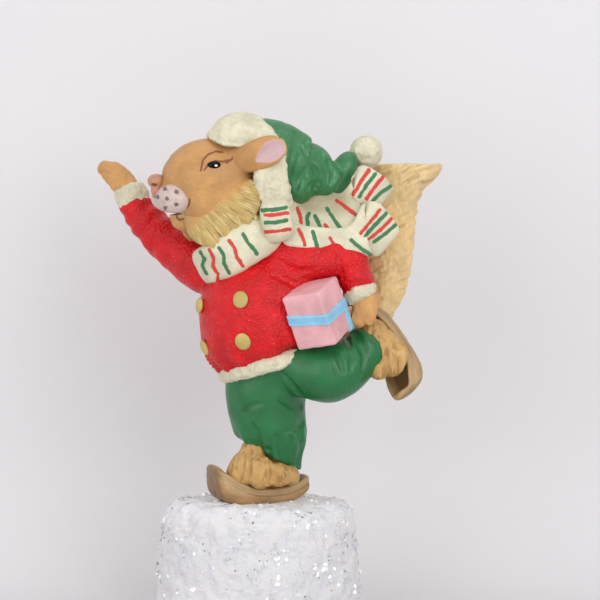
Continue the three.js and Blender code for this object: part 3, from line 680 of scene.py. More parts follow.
SKULL = head_ball((-2.6, 0, 1.2), (12.2, 11.6, 10.9))
MOUTH = head_ball((-12.0, 0, -6.3), (3.8, 4.4, 0.45))
HEAD = carve(
    melt(
        1.8, SKULL, head_ball((-11.4, 0, -2.0), (4.2, 4.8, 4.2)), head_ball((-9.0, 0, -7.7), (3.5, 3.8, 3.2)),
        *both((-1.6, -5.6, -4.2), (8.0, 5.4, 6.4)), *both((2.5, -6.0, 2.0), (7.0, 4.8, 7.6)),
        head_ball((-1.0, 0, -8.0), (8.0, 8.0, 6.0)), ball((-4.8, 0, 97.6), (9.0, 8.6, 7.0)),
        EAR_ROOT, mirrored(EAR_ROOT),
    ),
    MOUTH, 0.5,
)
NEAR_PAD = head_ball((-11.5, -4.9, -2.7), (5.3, 4.2, 3.7))
NOSE = carve(
    melt(0.6, head_ball((-16.0, 0, 1.5), (2.2, 2.6, 1.8)), head_ball((-15.9, 0, -0.9), (1.5, 1.7, 1.6))),
    melt(0.2, *both((-16.8, -1.7, 0.6), (0.8, 0.8, 0.35))), 0.4)
NEAR_EYE = head_ball((-2.9, -10.0, 5.3), (1.9, 1.35, 1.15))

# Where the near cheek's fur starts and ends, from the mouth to the ear: two pixels and a depth each
RUFF_ROOTS = (
    (190, 222, -6.4), (194, 215, -8.4), (200, 209, -9.9), (208, 203, -10.7), (217, 197, -10.8),
    (228, 190, -10.4), (240, 182, -9.6))
RUFF_TIPS = (
    (207, 243, -11.4), (217, 248, -11.8), (230, 243, -12.0), (243, 231, -12.2), (257, 219, -12.4),
    (263, 205, -12.2), (262, 188, -11.6))
# Steps from one root to the next, and pixels along the fur's edge by the brim, where shade is painted
RUFF_SPAN = 20
RUFF_SHADE_EDGE = ((247, 174), (255, 181), (261, 193), (262, 205), (258, 214))


def stray(*numbers):
    """A fixed number from -1 to 1 that looks random."""
    turn = sum(n * k for n, k in zip(numbers, (12.99, 78.23, 37.72)))
    return 2 * math.modf(abs(math.sin(turn) * 437.5))[0] - 1


def fall(share):
    """Where the fur of the near cheek starts and ends at a share of its width: two pixels and a depth."""
    place = round(np.clip(share, 0, 1) * (len(RUFF_ROOTS) - 1) * RUFF_SPAN)
    return (spline(rows, per_span=RUFF_SPAN)[place] for rows in (RUFF_ROOTS, RUFF_TIPS))


# The fur under the locks: share of its fall and fullness at each place along it, and half sizes
UNDER_FUR = ((-0.05, 0.6), (0.3, 1.0), (0.65, 0.85), (0.88, 0.4))
UNDER_FUR_WIDE = 2.5
UNDER_FUR_DEEP = 1.8


def under_fur(share):
    """A broad piece of the fur under the locks."""
    root, tip = fall(share)
    stations = []
    for part, full in UNDER_FUR:
        across, down, skin = root + (tip - root) * part
        spot = seen(across, down, skin + UNDER_FUR_DEEP * full)
        stations.append((*spot, UNDER_FUR_WIDE * full, UNDER_FUR_DEEP * full))
    return nearby(Limb(stations, per_span=5))


# Along one lock: share of its length, bend, depth under the fur's face and share of its width
LOCK_SHAPE = ((0, 0, 1.9, 0.6), (0.35, 1.0, 0.6, 1.0), (0.72, 0.8, 0.5, 0.8), (1, -0.7, 1.2, 0.15))
LOCK_PROUD = 0.3


def lock(share, start, stop, depth, width, sway):
    """One curved lock of cheek fur, from the cheek's line of roots towards the ruff's ragged edge."""
    root, tip = fall(share)
    way = tip - root
    side = np.array((way[1], -way[0], 0.0)) / math.hypot(way[0], way[1])
    rows = []
    for part, bend, sink, thick in LOCK_SHAPE:
        across, down, skin = root + way * (start + (stop - start) * part) + side * sway * bend
        rows.append((*seen(across, down, skin - LOCK_PROUD - depth + sink), width * thick))
    return nearby(Limb(rows, per_span=4))


# Rows of locks: how many, start and end along the fur's fall, height and half width
LOCK_ROWS = (
    (19, 0.5, 1.02, 0.1, 0.95), (17, 0.3, 0.84, 0.35, 0.85), (14, 0.12, 0.64, 0.35, 0.7),
    (10, 0.0, 0.42, 0.1, 0.5))
# The depth of the fur's edge, and the point that its fall fans out from, with a radius to measure at
RUFF_DEPTH = -12.0
RUFF_POLE = seen(156, 162, RUFF_DEPTH)
RUFF_REACH = 24.0


def ruff_locks():
    """The locks of the near cheek in overlapping rows."""
    locks = []
    for row, (count, start, stop, depth, width) in enumerate(LOCK_ROWS):
        for i in range(count):
            share = (i + 0.4 * stray(i, row, 1)) / (count - 1)
            reach = stop * (1 + 0.1 * stray(i, row, 2))
            height = depth + 0.15 * stray(i, row, 3)
            half = width * (1 + 0.3 * stray(i, row, 4))
            locks.append(lock(share, start, reach, height, half, 1.5 + 2.5 * stray(i, row, 5)))
    return locks


NEAR_RUFF = melt(0.5, melt(1.5, *map(under_fur, np.linspace(0.04, 0.96, 9))), *ruff_locks())

BRIM_AXIS = unit(np.array((0.95, 0.0, 0.3)))
BRIM_SIDE = (
    (0.6, -7.6, 120.0, 2.8, 4.2), (2.8, -10.9, 115.0, 2.5, 4.2), (3.7, -11.3, 109.0, 2.5, 4.2),
    (5.0, -8.6, 103.6, 2.5, 4.0))
BRIM_RING = [
    (-1.6, 0, 122.0, 3.2, 4.6), *BRIM_SIDE, (5.8, 0, 101.6, 2.5, 3.8),
    *[(x, -y, z, *half) for x, y, z, *half in BRIM_SIDE[::-1]]]
BRIM_FRONT = within(
    ball((-4.1, -0.5, 117.3), (9.3, 10.9, 9.5)), ball((-4.5, -0.5, 130.0), (12.3, 40.0, 12.3)), 0.4)
BRIM = melt(1.0, Limb(BRIM_RING, BRIM_AXIS, closed=True), BRIM_FRONT)
# Folds, here and below: two pixels and a half width in mm at each place along a crease
CAP_FOLDS = (
    ((296, 134, 1.3), (295, 146, 1.2), (292, 160, 1.0), (289, 176, 0.6)),
    ((312, 164, 0.5), (317, 177, 1.2), (318, 186, 1.4), (315, 194, 0.6)),
    ((329, 163, 1.2), (333, 173, 1.3), (331, 182, 0.8)),
    ((306, 199, 0.9), (307, 192, 0.9), (311, 184, 0.6)),
    ((301, 148, 0.5), (308, 158, 0.7), (312, 170, 0.5)),
    ((296, 190, 0.4), (299, 181, 0.7), (304, 170, 0.5)),
)


def cap_relief(points, along, angle):
    """Soft dents in the cap."""
    return 0.35 * lumps(points, 3.6, 4)


CAP = creased(
    melt(
        1.3, Limb([
            (0.8, 0, 115.1, 10.4), (4.25, 0, 114.6, 10.1), (7.4, 0.3, 114.0, 9.0), (10.5, 0.8, 112.4, 8.1),
            (13.2, 1.2, 112.0, 7.0), (16, 1.8, 110.4, 5.4), (18.3, 2.6, 109.4, 4.5)],
            ends=0.3, relief=cap_relief),
        ball((21.4, 3.8, 111.6), (3.4, 3.6, 5.8), turned(y=20)), ball((9.8, -1.6, 108.0), (4.2, 6.0, 4.2)),
        ball((18.6, 2.6, 108.2), (3.8, 3.8, 3.4)),
    ),
    CAP_FOLDS,
)
POMPON = ball(seen(366, 152, 7), 4.1)

SCARF_AXIS = unit(np.array((-0.515, 0.0, 0.857)))
SCARF_MIDDLE = np.array((-3.0, 0.0, 94.0))
WRAP = Limb(ring(SCARF_MIDDLE, SCARF_AXIS, 11.2, 2.6, 5.2), SCARF_AXIS, closed=True, square=2.6)
KNOT = Limb(seen_rows(
    (274, 203, -10.5, 3.4, 2.0), (275.5, 214, -12.8, 3.8, 2.4), (278, 226, -13.0, 3.7, 2.4),
    (280, 236, -11.6, 3.3, 2.0)), square=2.8, ends=0.6)


def jacket_relief(points, along, angle):
    """Gathers above the hem, and soft dents."""
    gathers = 0.35 * np.sin(13 * angle + 3 * lumps(points, 6, 1)) * ease(along, 9, 3)
    return gathers + 0.2 * lumps(points, 4, 2)


def raised_sleeve_relief(points, along, angle):
    """Wrinkles round the raised sleeve towards its cuff."""
    wave = along * 1.3 + 2.2 * np.sin(angle) + 2 * lumps(points, 5, 3)
    return 0.22 * np.sin(wave) * ease(along, 20, 12) + 0.2 * lumps(points, 3, 5)


def gift_sleeve_relief(points, along, angle):
    """Wrinkles round the sleeve by the gift, below its shoulder."""
    wave = along * 1.3 + angle + 2 * lumps(points, 5, 3)
    return 0.25 * np.sin(wave) * ease(along, 3, 9) + 0.2 * lumps(points, 3, 6)


JACKET = Limb([
    (3.4, 0, 65.2, 11.5), (2.2, 0, 69, 15.5), (1.7, 0, 76.3, 16.4), (1.05, 0, 84.1, 14.8),
    (0.3, 0, 90.5, 9.9), (0, 0, 94.8, 6.5)],
    relief=jacket_relief)
RAISED_SLEEVE = Limb([
    (-31.6, 14, 103.2, 4.0), (-28.1, 13.5, 98.9, 4.7), (-24, 12.7, 95.1, 5.4), (-18.5, 11, 91.3, 6.4),
    (-12, 8.5, 87.4, 7), (-5, 6, 87.5, 7)],
    relief=raised_sleeve_relief)
GIFT_SLEEVE = melt(
    1.5, ball((7.2, -6.4, 91.2), (5.6, 5.4, 5.2)),
    Limb([
        (8, -7, 89, 5.7), (15, -7.4, 90.0, 5.3), (21.2, -7, 90.0, 5), (23.8, -7.2, 86.8, 4.5),
        (25.0, -7.9, 82.6, 3.9)],
        relief=gift_sleeve_relief))
JACKET_FOLDS = (
    ((279, 261, 0.6), (288, 267, 1.0), (298, 271, 1.3), (310, 270, 0.8)),
    ((272, 275, 0.4), (283, 279, 0.9), (294, 284, 0.9)),
    ((338, 255, 0.4), (341, 265, 0.8), (343, 277, 0.6)),
    ((206, 284, 0.5), (205, 276, 0.8), (200, 268, 0.6)),
)
HEM_AXIS = unit(np.array((-0.292, 0.0, 0.956)))
HEM_MIDDLE = np.array((3.4, 0.0, 65.0))
HEM = Limb(ring(HEM_MIDDLE, HEM_AXIS, 11.6, 2.4, 2.1), HEM_AXIS, closed=True, square=2.4)


def standing_leg_relief(points, along, angle):
    """Gathers down to the hem of the standing leg, and soft dents."""
    gathers = 0.45 * np.sin(9 * angle + 2.5 * lumps(points, 5, 8)) * ease(along, 17, 24)
    return gathers + 0.25 * lumps(points, 4, 7)


def raised_leg_relief(points, along, angle):
    """Soft dents in the raised leg."""
    return 0.3 * lumps(points, 4, 9)


STANDING_LEG = Limb([
    (3, 0, 67.8, 9.3), (2.3, 0, 61.8, 10.4), (2.05, 0.1, 53.8, 9.8), (3.4, 0.2, 45.5, 8.7),
    (4.4, 0.2, 39, 6.4), (4.8, 0.2, 34, 5.6)],
    relief=standing_leg_relief)
RAISED_LEG = Limb([
    (5.5, -3.5, 64.9, 7.1), (13.7, -7.7, 63.2, 7.4), (18.7, -9.5, 62.8, 7.4), (24.65, -6.4, 65.9, 6),
    (27.1, -5.1, 67.5, 5.3)],
    relief=raised_leg_relief)
RAISED_HEM_AXIS = unit(np.array((0.8, 0.25, 0.5)))
RAISED_HEM_MIDDLE = np.array((26.6, -5.3, 68.2))
TROUSER_FOLDS = (
    ((345, 337, 0.6), (349, 347, 1.1), (352, 358, 1.0), (350, 370, 0.5)),
    ((355, 332, 0.8), (360, 343, 1.2), (364, 356, 1.1), (362, 370, 0.6)),
    ((333, 352, 0.4), (340, 360, 0.8), (343, 372, 0.5)),
    ((304, 399, 1.4), (297, 391, 1.3), (289, 381, 0.9), (282, 373, 0.5)),
    ((301, 407, 0.9), (292, 405, 1.0), (280, 400, 0.6)),
    ((250, 444, 1.2), (258, 449, 1.3), (268, 450, 0.7)),
    ((281, 462, 1.0), (280, 448, 0.9), (276, 434, 0.5)),
    ((293, 466, 1.0), (294, 451, 0.9), (291, 436, 0.5)),
    ((262, 454, 0.9), (258, 438, 0.8), (252, 424, 0.4)),
    ((303, 424, 0.9), (294, 430, 0.8), (286, 432, 0.4)),
    ((243, 412, 0.4), (252, 406, 0.7), (263, 404, 0.4)),
)
TROUSERS = creased(
    melt(
        1.3, carve(STANDING_LEG, half_space((2.5, 0, 41.6), (0.47, 0, 0.883)), 0.9), RAISED_LEG,
        Limb(ring(RAISED_HEM_MIDDLE, RAISED_HEM_AXIS, 4.7, 1.1, 1.6), RAISED_HEM_AXIS, closed=True)),
    TROUSER_FOLDS)


def tail_fur(points, along, angle):
    """Combed grooves that rise towards the back."""
    x = points[:, 0]
    z = points[:, 2]
    bend = 1.6 * lumps(points, 7, 92)
    combed = np.sin((z - 0.75 * x + bend) * 2.1) + 0.6 * np.sin((z - 0.45 * x + bend) * 3.9 + np.cos(angle))
    return 0.18 * combed + 0.35 * lumps(points * (1, 1, 0.5), 2.4, 91)


TAIL_TOP = 114.0
TAIL_BODY = Limb([
    (7.5, 6.0, 63.4, 3.4), (13.5, 9, 63.8, 4.2), (24, 12.5, 70.5, 5.2, 4.8), (30, 14, 79, 5.5, 5.4),
    (32.3, 14.5, 85, 5.9, 5.8), (33.3, 15, 92, 6.0, 6.0), (34.2, 15, 103.6, 6.5, 6.2),
    (35.2, 15, 109, 6.5, 6.2), (36.4, 15, 117, 7.0, 5.6)],
    ends=0.35, relief=tail_fur)
TAIL_FLARE = Limb([
    (36.5, 15, 105.2, 2.9, 4.8), (39.5, 15, 109.6, 3.2, 5.2), (43.3, 15, 113.3, 3.3, 4.8)], relief=tail_fur)
TAIL = within(melt(1.0, TAIL_BODY, TAIL_FLARE), half_space((0, 0, TAIL_TOP), UP), 0.5)

# A skate's underside, rim and half width along its own X axis, from toe to heel
SKATE_LENGTH = 27.0
SKATE_BOTTOM = (
    (-13.5, 7.4), (-12.6, 4.0), (-10.8, 1.6), (-8.0, 0.3), (-4, 0), (6, 0.1), (10, 1.0), (13.5, 2.8))
SKATE_RIM = ((-13.5, 10.6), (-11, 9.4), (-7, 6.0), (-2, 4.2), (3, 3.9), (8, 4.6), (13.5, 6.6))
SKATE_BLUNT_TOE = ((-13.5, 2.9), (-12.9, 3.7), (-12, 4.3), (-10, 4.9))
SKATE_ROUND_TOE = ((-13.5, 0.9), (-13, 2.1), (-12, 3.5), (-10, 4.7))
SKATE_HALF = ((-6, 5.4), (0, 5.5), (6, 5.2), (10, 4.5), (12.5, 3.4), (13.5, 2.2))
# Where its well and its hull end at the toe, where its rim arches, its walls, and the groove below its rim
SKATE_TOE = -10.8
SKATE_TIP = -13.1
SKATE_ARCH_RUN = (7.0, 12.5)
SKATE_WALL = 1.3
SKATE_SOLE = 2.7
SKATE_END_WALL = 1.5
SKATE_GROOVE = 0.4
SKATE_GROOVE_DROP = 1.5


def lean(x, knots):
    """How much shorter the way out to a profile's side is than the way straight across."""
    return 1 / np.hypot(1, (profile(x + 0.1, knots) - profile(x - 0.1, knots)) / 0.2)


def skate(origin, turn, toe, arch, edge):
    """A boat-shaped skate: a shallow hull with an open well, its toe turned up towards its own -X."""
    outline = toe + SKATE_HALF

    def field(points):
        x, y, z = ((points - np.array(origin)) @ turn).T
        bottom, rim, half = (profile(x, k) for k in (SKATE_BOTTOM, SKATE_RIM, outline))
        rim = rim - arch * ease(-x, *SKATE_ARCH_RUN) * (y / half) ** 2
        under = (bottom - z) * lean(x, SKATE_BOTTOM)
        aside = (np.abs(y) - half) * lean(x, outline)
        end = np.maximum(x - SKATE_LENGTH / 2, SKATE_TIP - x)
        hull = soft_most(edge, aside, z - rim, under, end)
        well = soft_most(0.8, aside + SKATE_WALL, under + SKATE_SOLE, end + SKATE_END_WALL, SKATE_TOE - x)
        groove = np.hypot(aside - 0.1, z - rim + SKATE_GROOVE_DROP) - SKATE_GROOVE
        return soft_most(0.8, soft_most(0.5, hull, -well), -groove)
    return field


GROUND_AT = np.array((0, -1, 29.4))
GROUND_TURN = turned(z=25)
GROUND_SKATE = skate(GROUND_AT, GROUND_TURN, SKATE_BLUNT_TOE, arch=1.2, edge=1.4)
RAISED_HEEL = unit(np.array((-0.52, 0.2, 0.83)))
RAISED_ACROSS = unit(np.cross((-0.63, -0.74, -0.22), RAISED_HEEL))
RAISED_TURN = np.stack((RAISED_HEEL, RAISED_ACROSS, np.cross(RAISED_HEEL, RAISED_ACROSS)), 1)
RAISED_AT = np.array((34.63, 1.2, 68.16))
RAISED_SKATE = skate(RAISED_AT, RAISED_TURN, SKATE_ROUND_TOE, arch=3.0, edge=2.6)

GROUND_TOES = (
    ((248, 456, 0.6), (248.5, 466, 0.9), (249, 479, 0.9)),
    ((270, 462, 0.5), (272, 470, 0.9), (273, 482, 0.9)),
    ((285, 466, 0.5), (286.5, 473, 0.7), (287, 480, 0.7)),
)
GROUND_FOOT = creased(
    melt(
        1.2, ball((2.2, -0.8, 37.4), (7.8, 5.2, 4.6)), ball((1.4, -0.8, 35.2), (8.6, 4.0, 3.4), GROUND_TURN),
        ball((1.8, 0.6, 40.4), (4.6, 4.6, 3.2)), ball(seen(241, 466, -6.0), (2.8, 3.0, 4.6), turned(y=35)),
        ball(seen(260, 473, -7.5), (3.8, 3.1, 4.2)), ball(seen(279, 476, -6.4), (2.7, 2.8, 3.0)),
        ball(seen(291, 477, -4.6), (2.3, 2.6, 2.3)), ball(seen(253, 455, -3.6), (3.4, 4.0, 4.0)),
        ball(seen(241, 476, -5.6), (3.2, 3.2, 2.8))),
    GROUND_TOES, 0.35)
RAISED_TOES = (
    ((388, 352, 0.5), (387, 366, 0.9), (386, 379, 0.9)),
    ((395, 345, 0.4), (398, 358, 0.8), (401, 370, 0.7)),
    ((379, 336, 0.5), (386, 345, 0.8), (392, 353, 0.5)),
)
RAISED_FOOT = creased(
    melt(
        1.1, Limb(seen_rows((372, 334, -4.2, 4.0), (382, 347, -5.0, 4.4), (390, 359, -5.6, 3.9))),
        ball(seen(380, 369, -7.4), (2.8, 2.5, 2.8)), ball(seen(393, 364, -7.4), (2.8, 2.5, 3.2)),
        ball(seen(400, 354, -6.4), (1.9, 2.2, 2.8))),
    RAISED_TOES, 0.35)

PAW_FINGERS = (
    ((101, 172, 0.4), (106, 172.5, 0.45), (111, 174, 0.25)),
    ((106, 164.5, 0.3), (109, 167, 0.35), (113, 169, 0.25)),
)
RAISED_PAW = creased(
    melt(
        0.6, Limb([
            (-32.6, 14.7, 106.4, 2.6), (-34.2, 14.9, 108.6, 3.2, 2.5), (-36.2, 15, 110.8, 3.2, 2.5),
            (-38.2, 15.1, 112.3, 2.7, 2.2), (-39.3, 15.1, 113.0, 2.0, 1.7)]),
        ball((-35.6, 13.6, 108.2), (1.7, 1.5, 1.7))),
    PAW_FINGERS, 0.2)
RAISED_CUFF = Limb(
    [(-31.4, 14.3, 103.4, 4.1), (-32.4, 14.5, 105.7, 4.3), (-33.2, 14.7, 107.7, 4.0)], ends=0.3)
GIFT_CUFF = Limb(
    [(24.6, -8.0, 83.0, 4.2), (25.1, -8.1, 82.1, 4.5), (25.6, -8.2, 81.2, 4.2)], ends=0.25)
GIFT_PAW = melt(
    0.6, Limb(seen_rows((366, 300, -8.5, 3.4, 2.6), (363, 310, -9.5, 3.0, 2.4), (358, 320, -10.0, 2.0, 1.8))),
    Limb(seen_rows((370, 304, -9.6, 1.5), (371, 314, -10.2, 1.4), (369, 322, -10.2, 1.0))))

# The gift's middle, its own axes as columns and its half sizes
GIFT_AT = np.array((14.8, -14.2, 77.5))
GIFT_TURN = np.array(((0.8695, -0.4623, 0.1736), (0.394, 0.8614, 0.3206), (-0.2978, -0.2104, 0.9312))).T
GIFT_HALF = np.array((5.3, 5.7, 6.95))
GIFT_BOX = block(GIFT_AT, GIFT_HALF, 0.7, GIFT_TURN)
SNOW_WIDE = 52.0
SNOW_DEEP = 42.0
SNOW_HIGH = 30.0
SNOW_SHOULDER = 7.0
SNOW_FLARE = 1.5


def snow_drum(points):
    """The snow block's plain form: an oval drum with a soft shoulder."""
    x, y, z = points.T
    out = np.hypot(x, y * SNOW_WIDE / SNOW_DEEP) - SNOW_WIDE / 2 + SNOW_FLARE * z / SNOW_HIGH
    return np.maximum(soft_most(SNOW_SHOULDER, out, z - SNOW_HIGH), -z)


def colour_property(name, description, code):
    """A colour that the panel shows."""
    return bpy.props.FloatVectorProperty(
        name=name, description=description, subtype="COLOR", size=3, min=0, max=1, default=linear(code))


class SquirrelColours(bpy.types.PropertyGroup):
    """The paints of the figurine."""
    red: colour_property("Jacket", "Stippled red of the jacket and its sleeves", "D80B14")
    green: colour_property("Trousers", "Green of the trousers", "176B38")
    cap: colour_property("Cap", "Green of the cap", "347A48")
    cream: colour_property("Trim", "Cream of the fur trim and the scarf", "DBD5B9")
    fur: colour_property("Fur", "Tan of the head and paws", "C49156")
    ruff: colour_property("Ruff", "Straw of the cheek ruffs", "BC9F5C")
    tail: colour_property("Tail", "Straw of the tail", "E6C68C")
    foot: colour_property("Feet", "Tan of the feet", "C69B5C")
    gold: colour_property("Buttons", "Gold of the buttons", "C9B063")
    pink: colour_property("Gift", "Pink of the gift's paper", "E4ACB0")
    blue: colour_property("Ribbon", "Light blue of the gift's ribbon", "8CC8E8")
    bronze: colour_property("Skates", "Bronze of the skates", "A37E50")
    stripe_red: colour_property("Red stripes", "Red of the scarf's stripes", "CF2A22")
    stripe_green: colour_property("Green stripes", "Green of the scarf's stripes", "1F7042")
    skin: colour_property("Ear skin", "Pink inside the ears", "CCABAC")
    muzzle: colour_property("Whisker pads", "Pale pink of the whisker pads", "D2BCB2")
    nose: colour_property("Nose", "Pinkish brown of the nose", "BE8668")
    snow: colour_property("Snow", "White of the snow", "DEDDE0")
    backdrop: colour_property("Backdrop", "Pale grey of the sheet behind", "E4E2E3")


class SquirrelSizes(bpy.types.PropertyGroup):
    """Sizes of what is laid over the sculpted forms."""
    flake: bpy.props.FloatProperty(
        name="Snow flake", description="Width of the glitter flakes", default=1.4 * MM, min=0.0,
        unit="LENGTH")
    flakes: bpy.props.IntProperty(name="Flakes", description="Flakes on the snow", default=4800, min=0)
    button: bpy.props.FloatProperty(
        name="Button", description="Diameter of the buttons", default=3.9 * MM, min=0.0, unit="LENGTH")
    stripe: bpy.props.FloatProperty(
        name="Stripe", description="Width of the scarf's stripes", default=0.95 * MM, min=0.0, unit="LENGTH")
    seed: bpy.props.IntProperty(name="Seed", description="Seed of the scattered flakes", default=7)


def tone(name):
    """One of the paints."""
    return tuple(getattr(bpy.context.scene.squirrel_colours, name))


def size(name):
    """One of the sizes."""
    return getattr(bpy.context.scene.squirrel_sizes, name)


def simple(name, colour, wash, **finish):
    """Painted resin with nothing drawn on it."""
    return Resin(name, colour, wash, **finish).finish()


def trim_paint():
    """Cream paint on rough fur trim."""
    return simple(
        "trim_cream", tone("cream"), linear("A9946C"), wash_amount=0.65, grit=0.22, grit_size=0.8, gloss=0.75)


def fluff(points):
    """The rough nap of the fur trim."""
    return 0.28 * lumps(points, 1.3, 11) + 0.16 * lumps(points, 0.6, 12)


# How strongly the world lights the figure and shows behind it, and the sheet's places in mm
ROOM_LIGHT = 0.53
ROOM_SEEN = 0.8
ROOM_COLOUR = (0.95, 0.96, 1.0, 1)
SHEET_HALF = 700.0
SHEET_FRONT = -700.0
SHEET_LEVEL = -0.3
SHEET_BEND = 40.0
SHEET_BACK = 70.0
SHEET_TOP = 500.0
# Each lamp's name, place and width in mm, and power
LAMPS = (
    ("key", (300, -520, 300), 420, 1.64), ("fill", (-420, -460, 200), 500, 1.3),
    ("top", (0, -80, 520), 420, 0.36))
LENS = 144.0
SENSOR = 36.0


def lay_sheet():
    """The pale sheet under and behind the figure; the camera sees through its back."""
    path = [(SHEET_FRONT, SHEET_LEVEL)]
    for a in np.linspace(0, np.pi / 2, 16):
        back = SHEET_BACK - SHEET_BEND + SHEET_BEND * math.sin(a)
        path.append((back, SHEET_BEND + SHEET_LEVEL - SHEET_BEND * math.cos(a)))
    path.append((SHEET_BACK, SHEET_TOP))
    points = np.array([(x, y, z) for y, z in path for x in (-SHEET_HALF, SHEET_HALF)])
    faces = [(2 * i, 2 * i + 1, 2 * i + 3, 2 * i + 2) for i in range(len(path) - 1)]
    sheet = link("backdrop_sheet", points, faces)
    p = Paint("backdrop")
    pale = p.mix(p.noise(60.0, 2.0).step(0.2, 0.8), shade(tone("backdrop"), 0.98), tone("backdrop"))
    behind = p.node("ShaderNodeNewGeometry", output="Backfacing")
    watched = p.node("ShaderNodeLightPath", output="Is Camera Ray")
    sheet.data.materials.append(p.done(Base_Color=pale, Roughness=0.9, Alpha=1 - behind * watched))


def pale_room():
    """A world that lights the figure less than it shows behind it and in reflections."""
    world = bpy.data.worlds.new("pale_room")
    world.use_nodes = True
    room = Tree(world.node_tree)
    world.node_tree.nodes.clear()
    rays = ("Camera", "Glossy", "Transmission")
    seen_by = [room.node("ShaderNodeLightPath", output="Is %s Ray" % ray) for ray in rays]
    strength = seen_by[0].most(seen_by[1]).most(seen_by[2]) * (ROOM_SEEN - ROOM_LIGHT) + ROOM_LIGHT
    glow = room.node("ShaderNodeBackground", {}, {"Color": ROOM_COLOUR, "Strength": strength})
    room.node("ShaderNodeOutputWorld", {}, {"Surface": glow})
    return world


def hang_lamp(name, spot, width, power):
    """A square lamp that faces the figure."""
    lamp = bpy.data.lights.new(name, "AREA")
    lamp.size = width * MM
    lamp.energy = power
    holder = bpy.data.objects.new(name, lamp)
    holder.location = Vector(spot) * MM
    aim = Vector(VIEW_TARGET) * MM - holder.location
    holder.rotation_euler = aim.to_track_quat("-Z", "Y").to_euler()
    bpy.context.scene.collection.objects.link(holder)


def photo_camera():
    """The camera at the photo's angle."""
    lens = bpy.data.cameras.new("photo_view")
    lens.lens = LENS
    lens.sensor_width = SENSOR
    lens.clip_start = 0.01
    lens.clip_end = 10.0
    camera = bpy.data.objects.new("photo_view", lens)
    back = Vector((0, -math.cos(VIEW_RISE), math.sin(VIEW_RISE))) * VIEW_DISTANCE
    camera.location = (Vector(VIEW_TARGET) + back) * MM
    camera.rotation_euler = (math.pi / 2 - VIEW_RISE, 0, 0)
    bpy.context.scene.collection.objects.link(camera)
    return camera


class SQUIRREL_OT_stage(bpy.types.Operator):
    """Lay the pale sheet and set the lamps and the camera"""
    bl_idname = "squirrel.stage"
    bl_label = "Stage"

    def execute(self, context):
        lay_sheet()
        context.scene.world = pale_room()
        for lamp in LAMPS:
            hang_lamp(*lamp)
        context.scene.camera = photo_camera()
        context.scene.view_settings.view_transform = "Standard"
        return {"FINISHED"}


class Growth(Tree):
    """A geometry node group with named inputs, run once on a mesh and kept as a new mesh."""

    def __init__(self, name, inputs):
        self.group = bpy.data.node_groups.new(name, "GeometryNodeTree")
        face = self.group.interface
        face.new_socket("Geometry", in_out="INPUT", socket_type="NodeSocketGeometry")
        face.new_socket("Geometry", in_out="OUTPUT", socket_type="NodeSocketGeometry")
        self.keys = {
            n: face.new_socket(n, in_out="INPUT", socket_type=k).identifier for n, k in inputs.items()}
        super().__init__(self.group)
        self.source = self.nodes.nodes.new("NodeGroupInput")

    def given(self, name):
        """One of the group's inputs."""
        return Flow(self, self.source.outputs[name])

    def chance(self, low, high, seed):
        """A random number for each point."""
        return self.node("FunctionNodeRandomValue", {}, {2: low, 3: high, "Seed": seed}, output=1)

    def end(self, shape, paint):
        """Realizes the shape, paints it and sends it out."""
        real = self.node("GeometryNodeRealizeInstances", {}, {"Geometry": shape})
        done = self.node("GeometryNodeSetMaterial", {}, {"Geometry": real, "Material": paint})
        self.nodes.links.new(done.socket, self.nodes.nodes.new("NodeGroupOutput").inputs["Geometry"])

    def bake(self, name, host, values):
        """A new object: the group run on a copy of a host with values for its inputs."""
        carrier = bpy.data.objects.new(name + "_host", host.data)
        bpy.context.scene.collection.objects.link(carrier)
        growth = carrier.modifiers.new("growth", "NODES")
        growth.node_group = self.group
        for key, value in values.items():
            growth[self.keys[key]] = value
        view = bpy.context.evaluated_depsgraph_get()
        mesh = bpy.data.meshes.new_from_object(carrier.evaluated_get(view))
        mesh.name = name
        bpy.data.objects.remove(carrier)
        made = bpy.data.objects.new(name, mesh)
        bpy.context.scene.collection.objects.link(made)
        return made


# The share of flakes that glow as painted glints, and where the dark ones begin in a random pick
BRIGHT_SHARE = 0.09
DARK_SHARE = 0.75
PICK_EDGE = 0.002
# Flake colours, each from where it begins in a random pick from 0 to 1
FLAKE_TONES = (
    (BRIGHT_SHARE, "D9D9DD"), (0.4, "E6E6EA"), (DARK_SHARE, "A09C9A"), (0.85, "BEA67C"), (0.88, "DCB8C2"),
    (0.91, "A9C2DA"), (0.93, "746E6A"))
# Size of the flakes' patches in mm, the least facing up that holds a flake, and a flake's cut, turn and scale
FLAKE_PATCH = 6.0
FLAKE_FACING = -0.6
FLAKE_SIDES = 5
FLAKE_THICK = 0.12
FLAKE_LIFT = 0.2
FLAKE_TURN = (0.5, 0.5, 3.1)
FLAKE_SCALE = (0.35, 0.75)
FLAKE_STRETCH = (0.6, 1.9)
BRIGHT_GAIN = 0.06
DARK_LOSS = 0.5


def snow_field(points):
    """The snow block, crumbled all over but at its foot."""
    rough = 0.5 * lumps(points, 4.5, 21) + 0.45 * lumps(points, 2.2, 22) + 0.25 * lumps(points, 1.1, 23)
    return snow_drum(points) - (rough - 0.3) * ease(points[:, 2], 0.3, 3)


def snow_paint():
    """White coating, with painted shade greying its hollows and painted light on its top, warmer in patches,
    with a few dark specks.
    """
    p = Paint("snow")
    fine = p.noise(0.8, 3.0, 0.6)
    white = p.mix(fine.step(0.3, 0.7), shade(tone("snow"), 0.9), tone("snow"))
    # Painted shade: greyer in the hollows
    white = p.mix(p.mark("hollow").step(0.25, 0.95) * 0.35, white, linear("BDBCBE"))
    white = p.mix(p.noise(7.0).step(0.35, 0.65) * 0.5, white, linear("E3E0DC"))
    speck = p.cells(1.9).step(0.1, 0.06) * p.noise(4.0).step(0.5, 0.6)
    white = p.mix(speck * 0.6, white, linear("6A645E"))
    # Painted light: lighter where the snow faces up
    white = p.mix(p.mark("level") * 0.7, white, linear("EFEEF0"))
    return p.done(Base_Color=white, Roughness=0.6, Normal=p.bump(fine, 0.25))


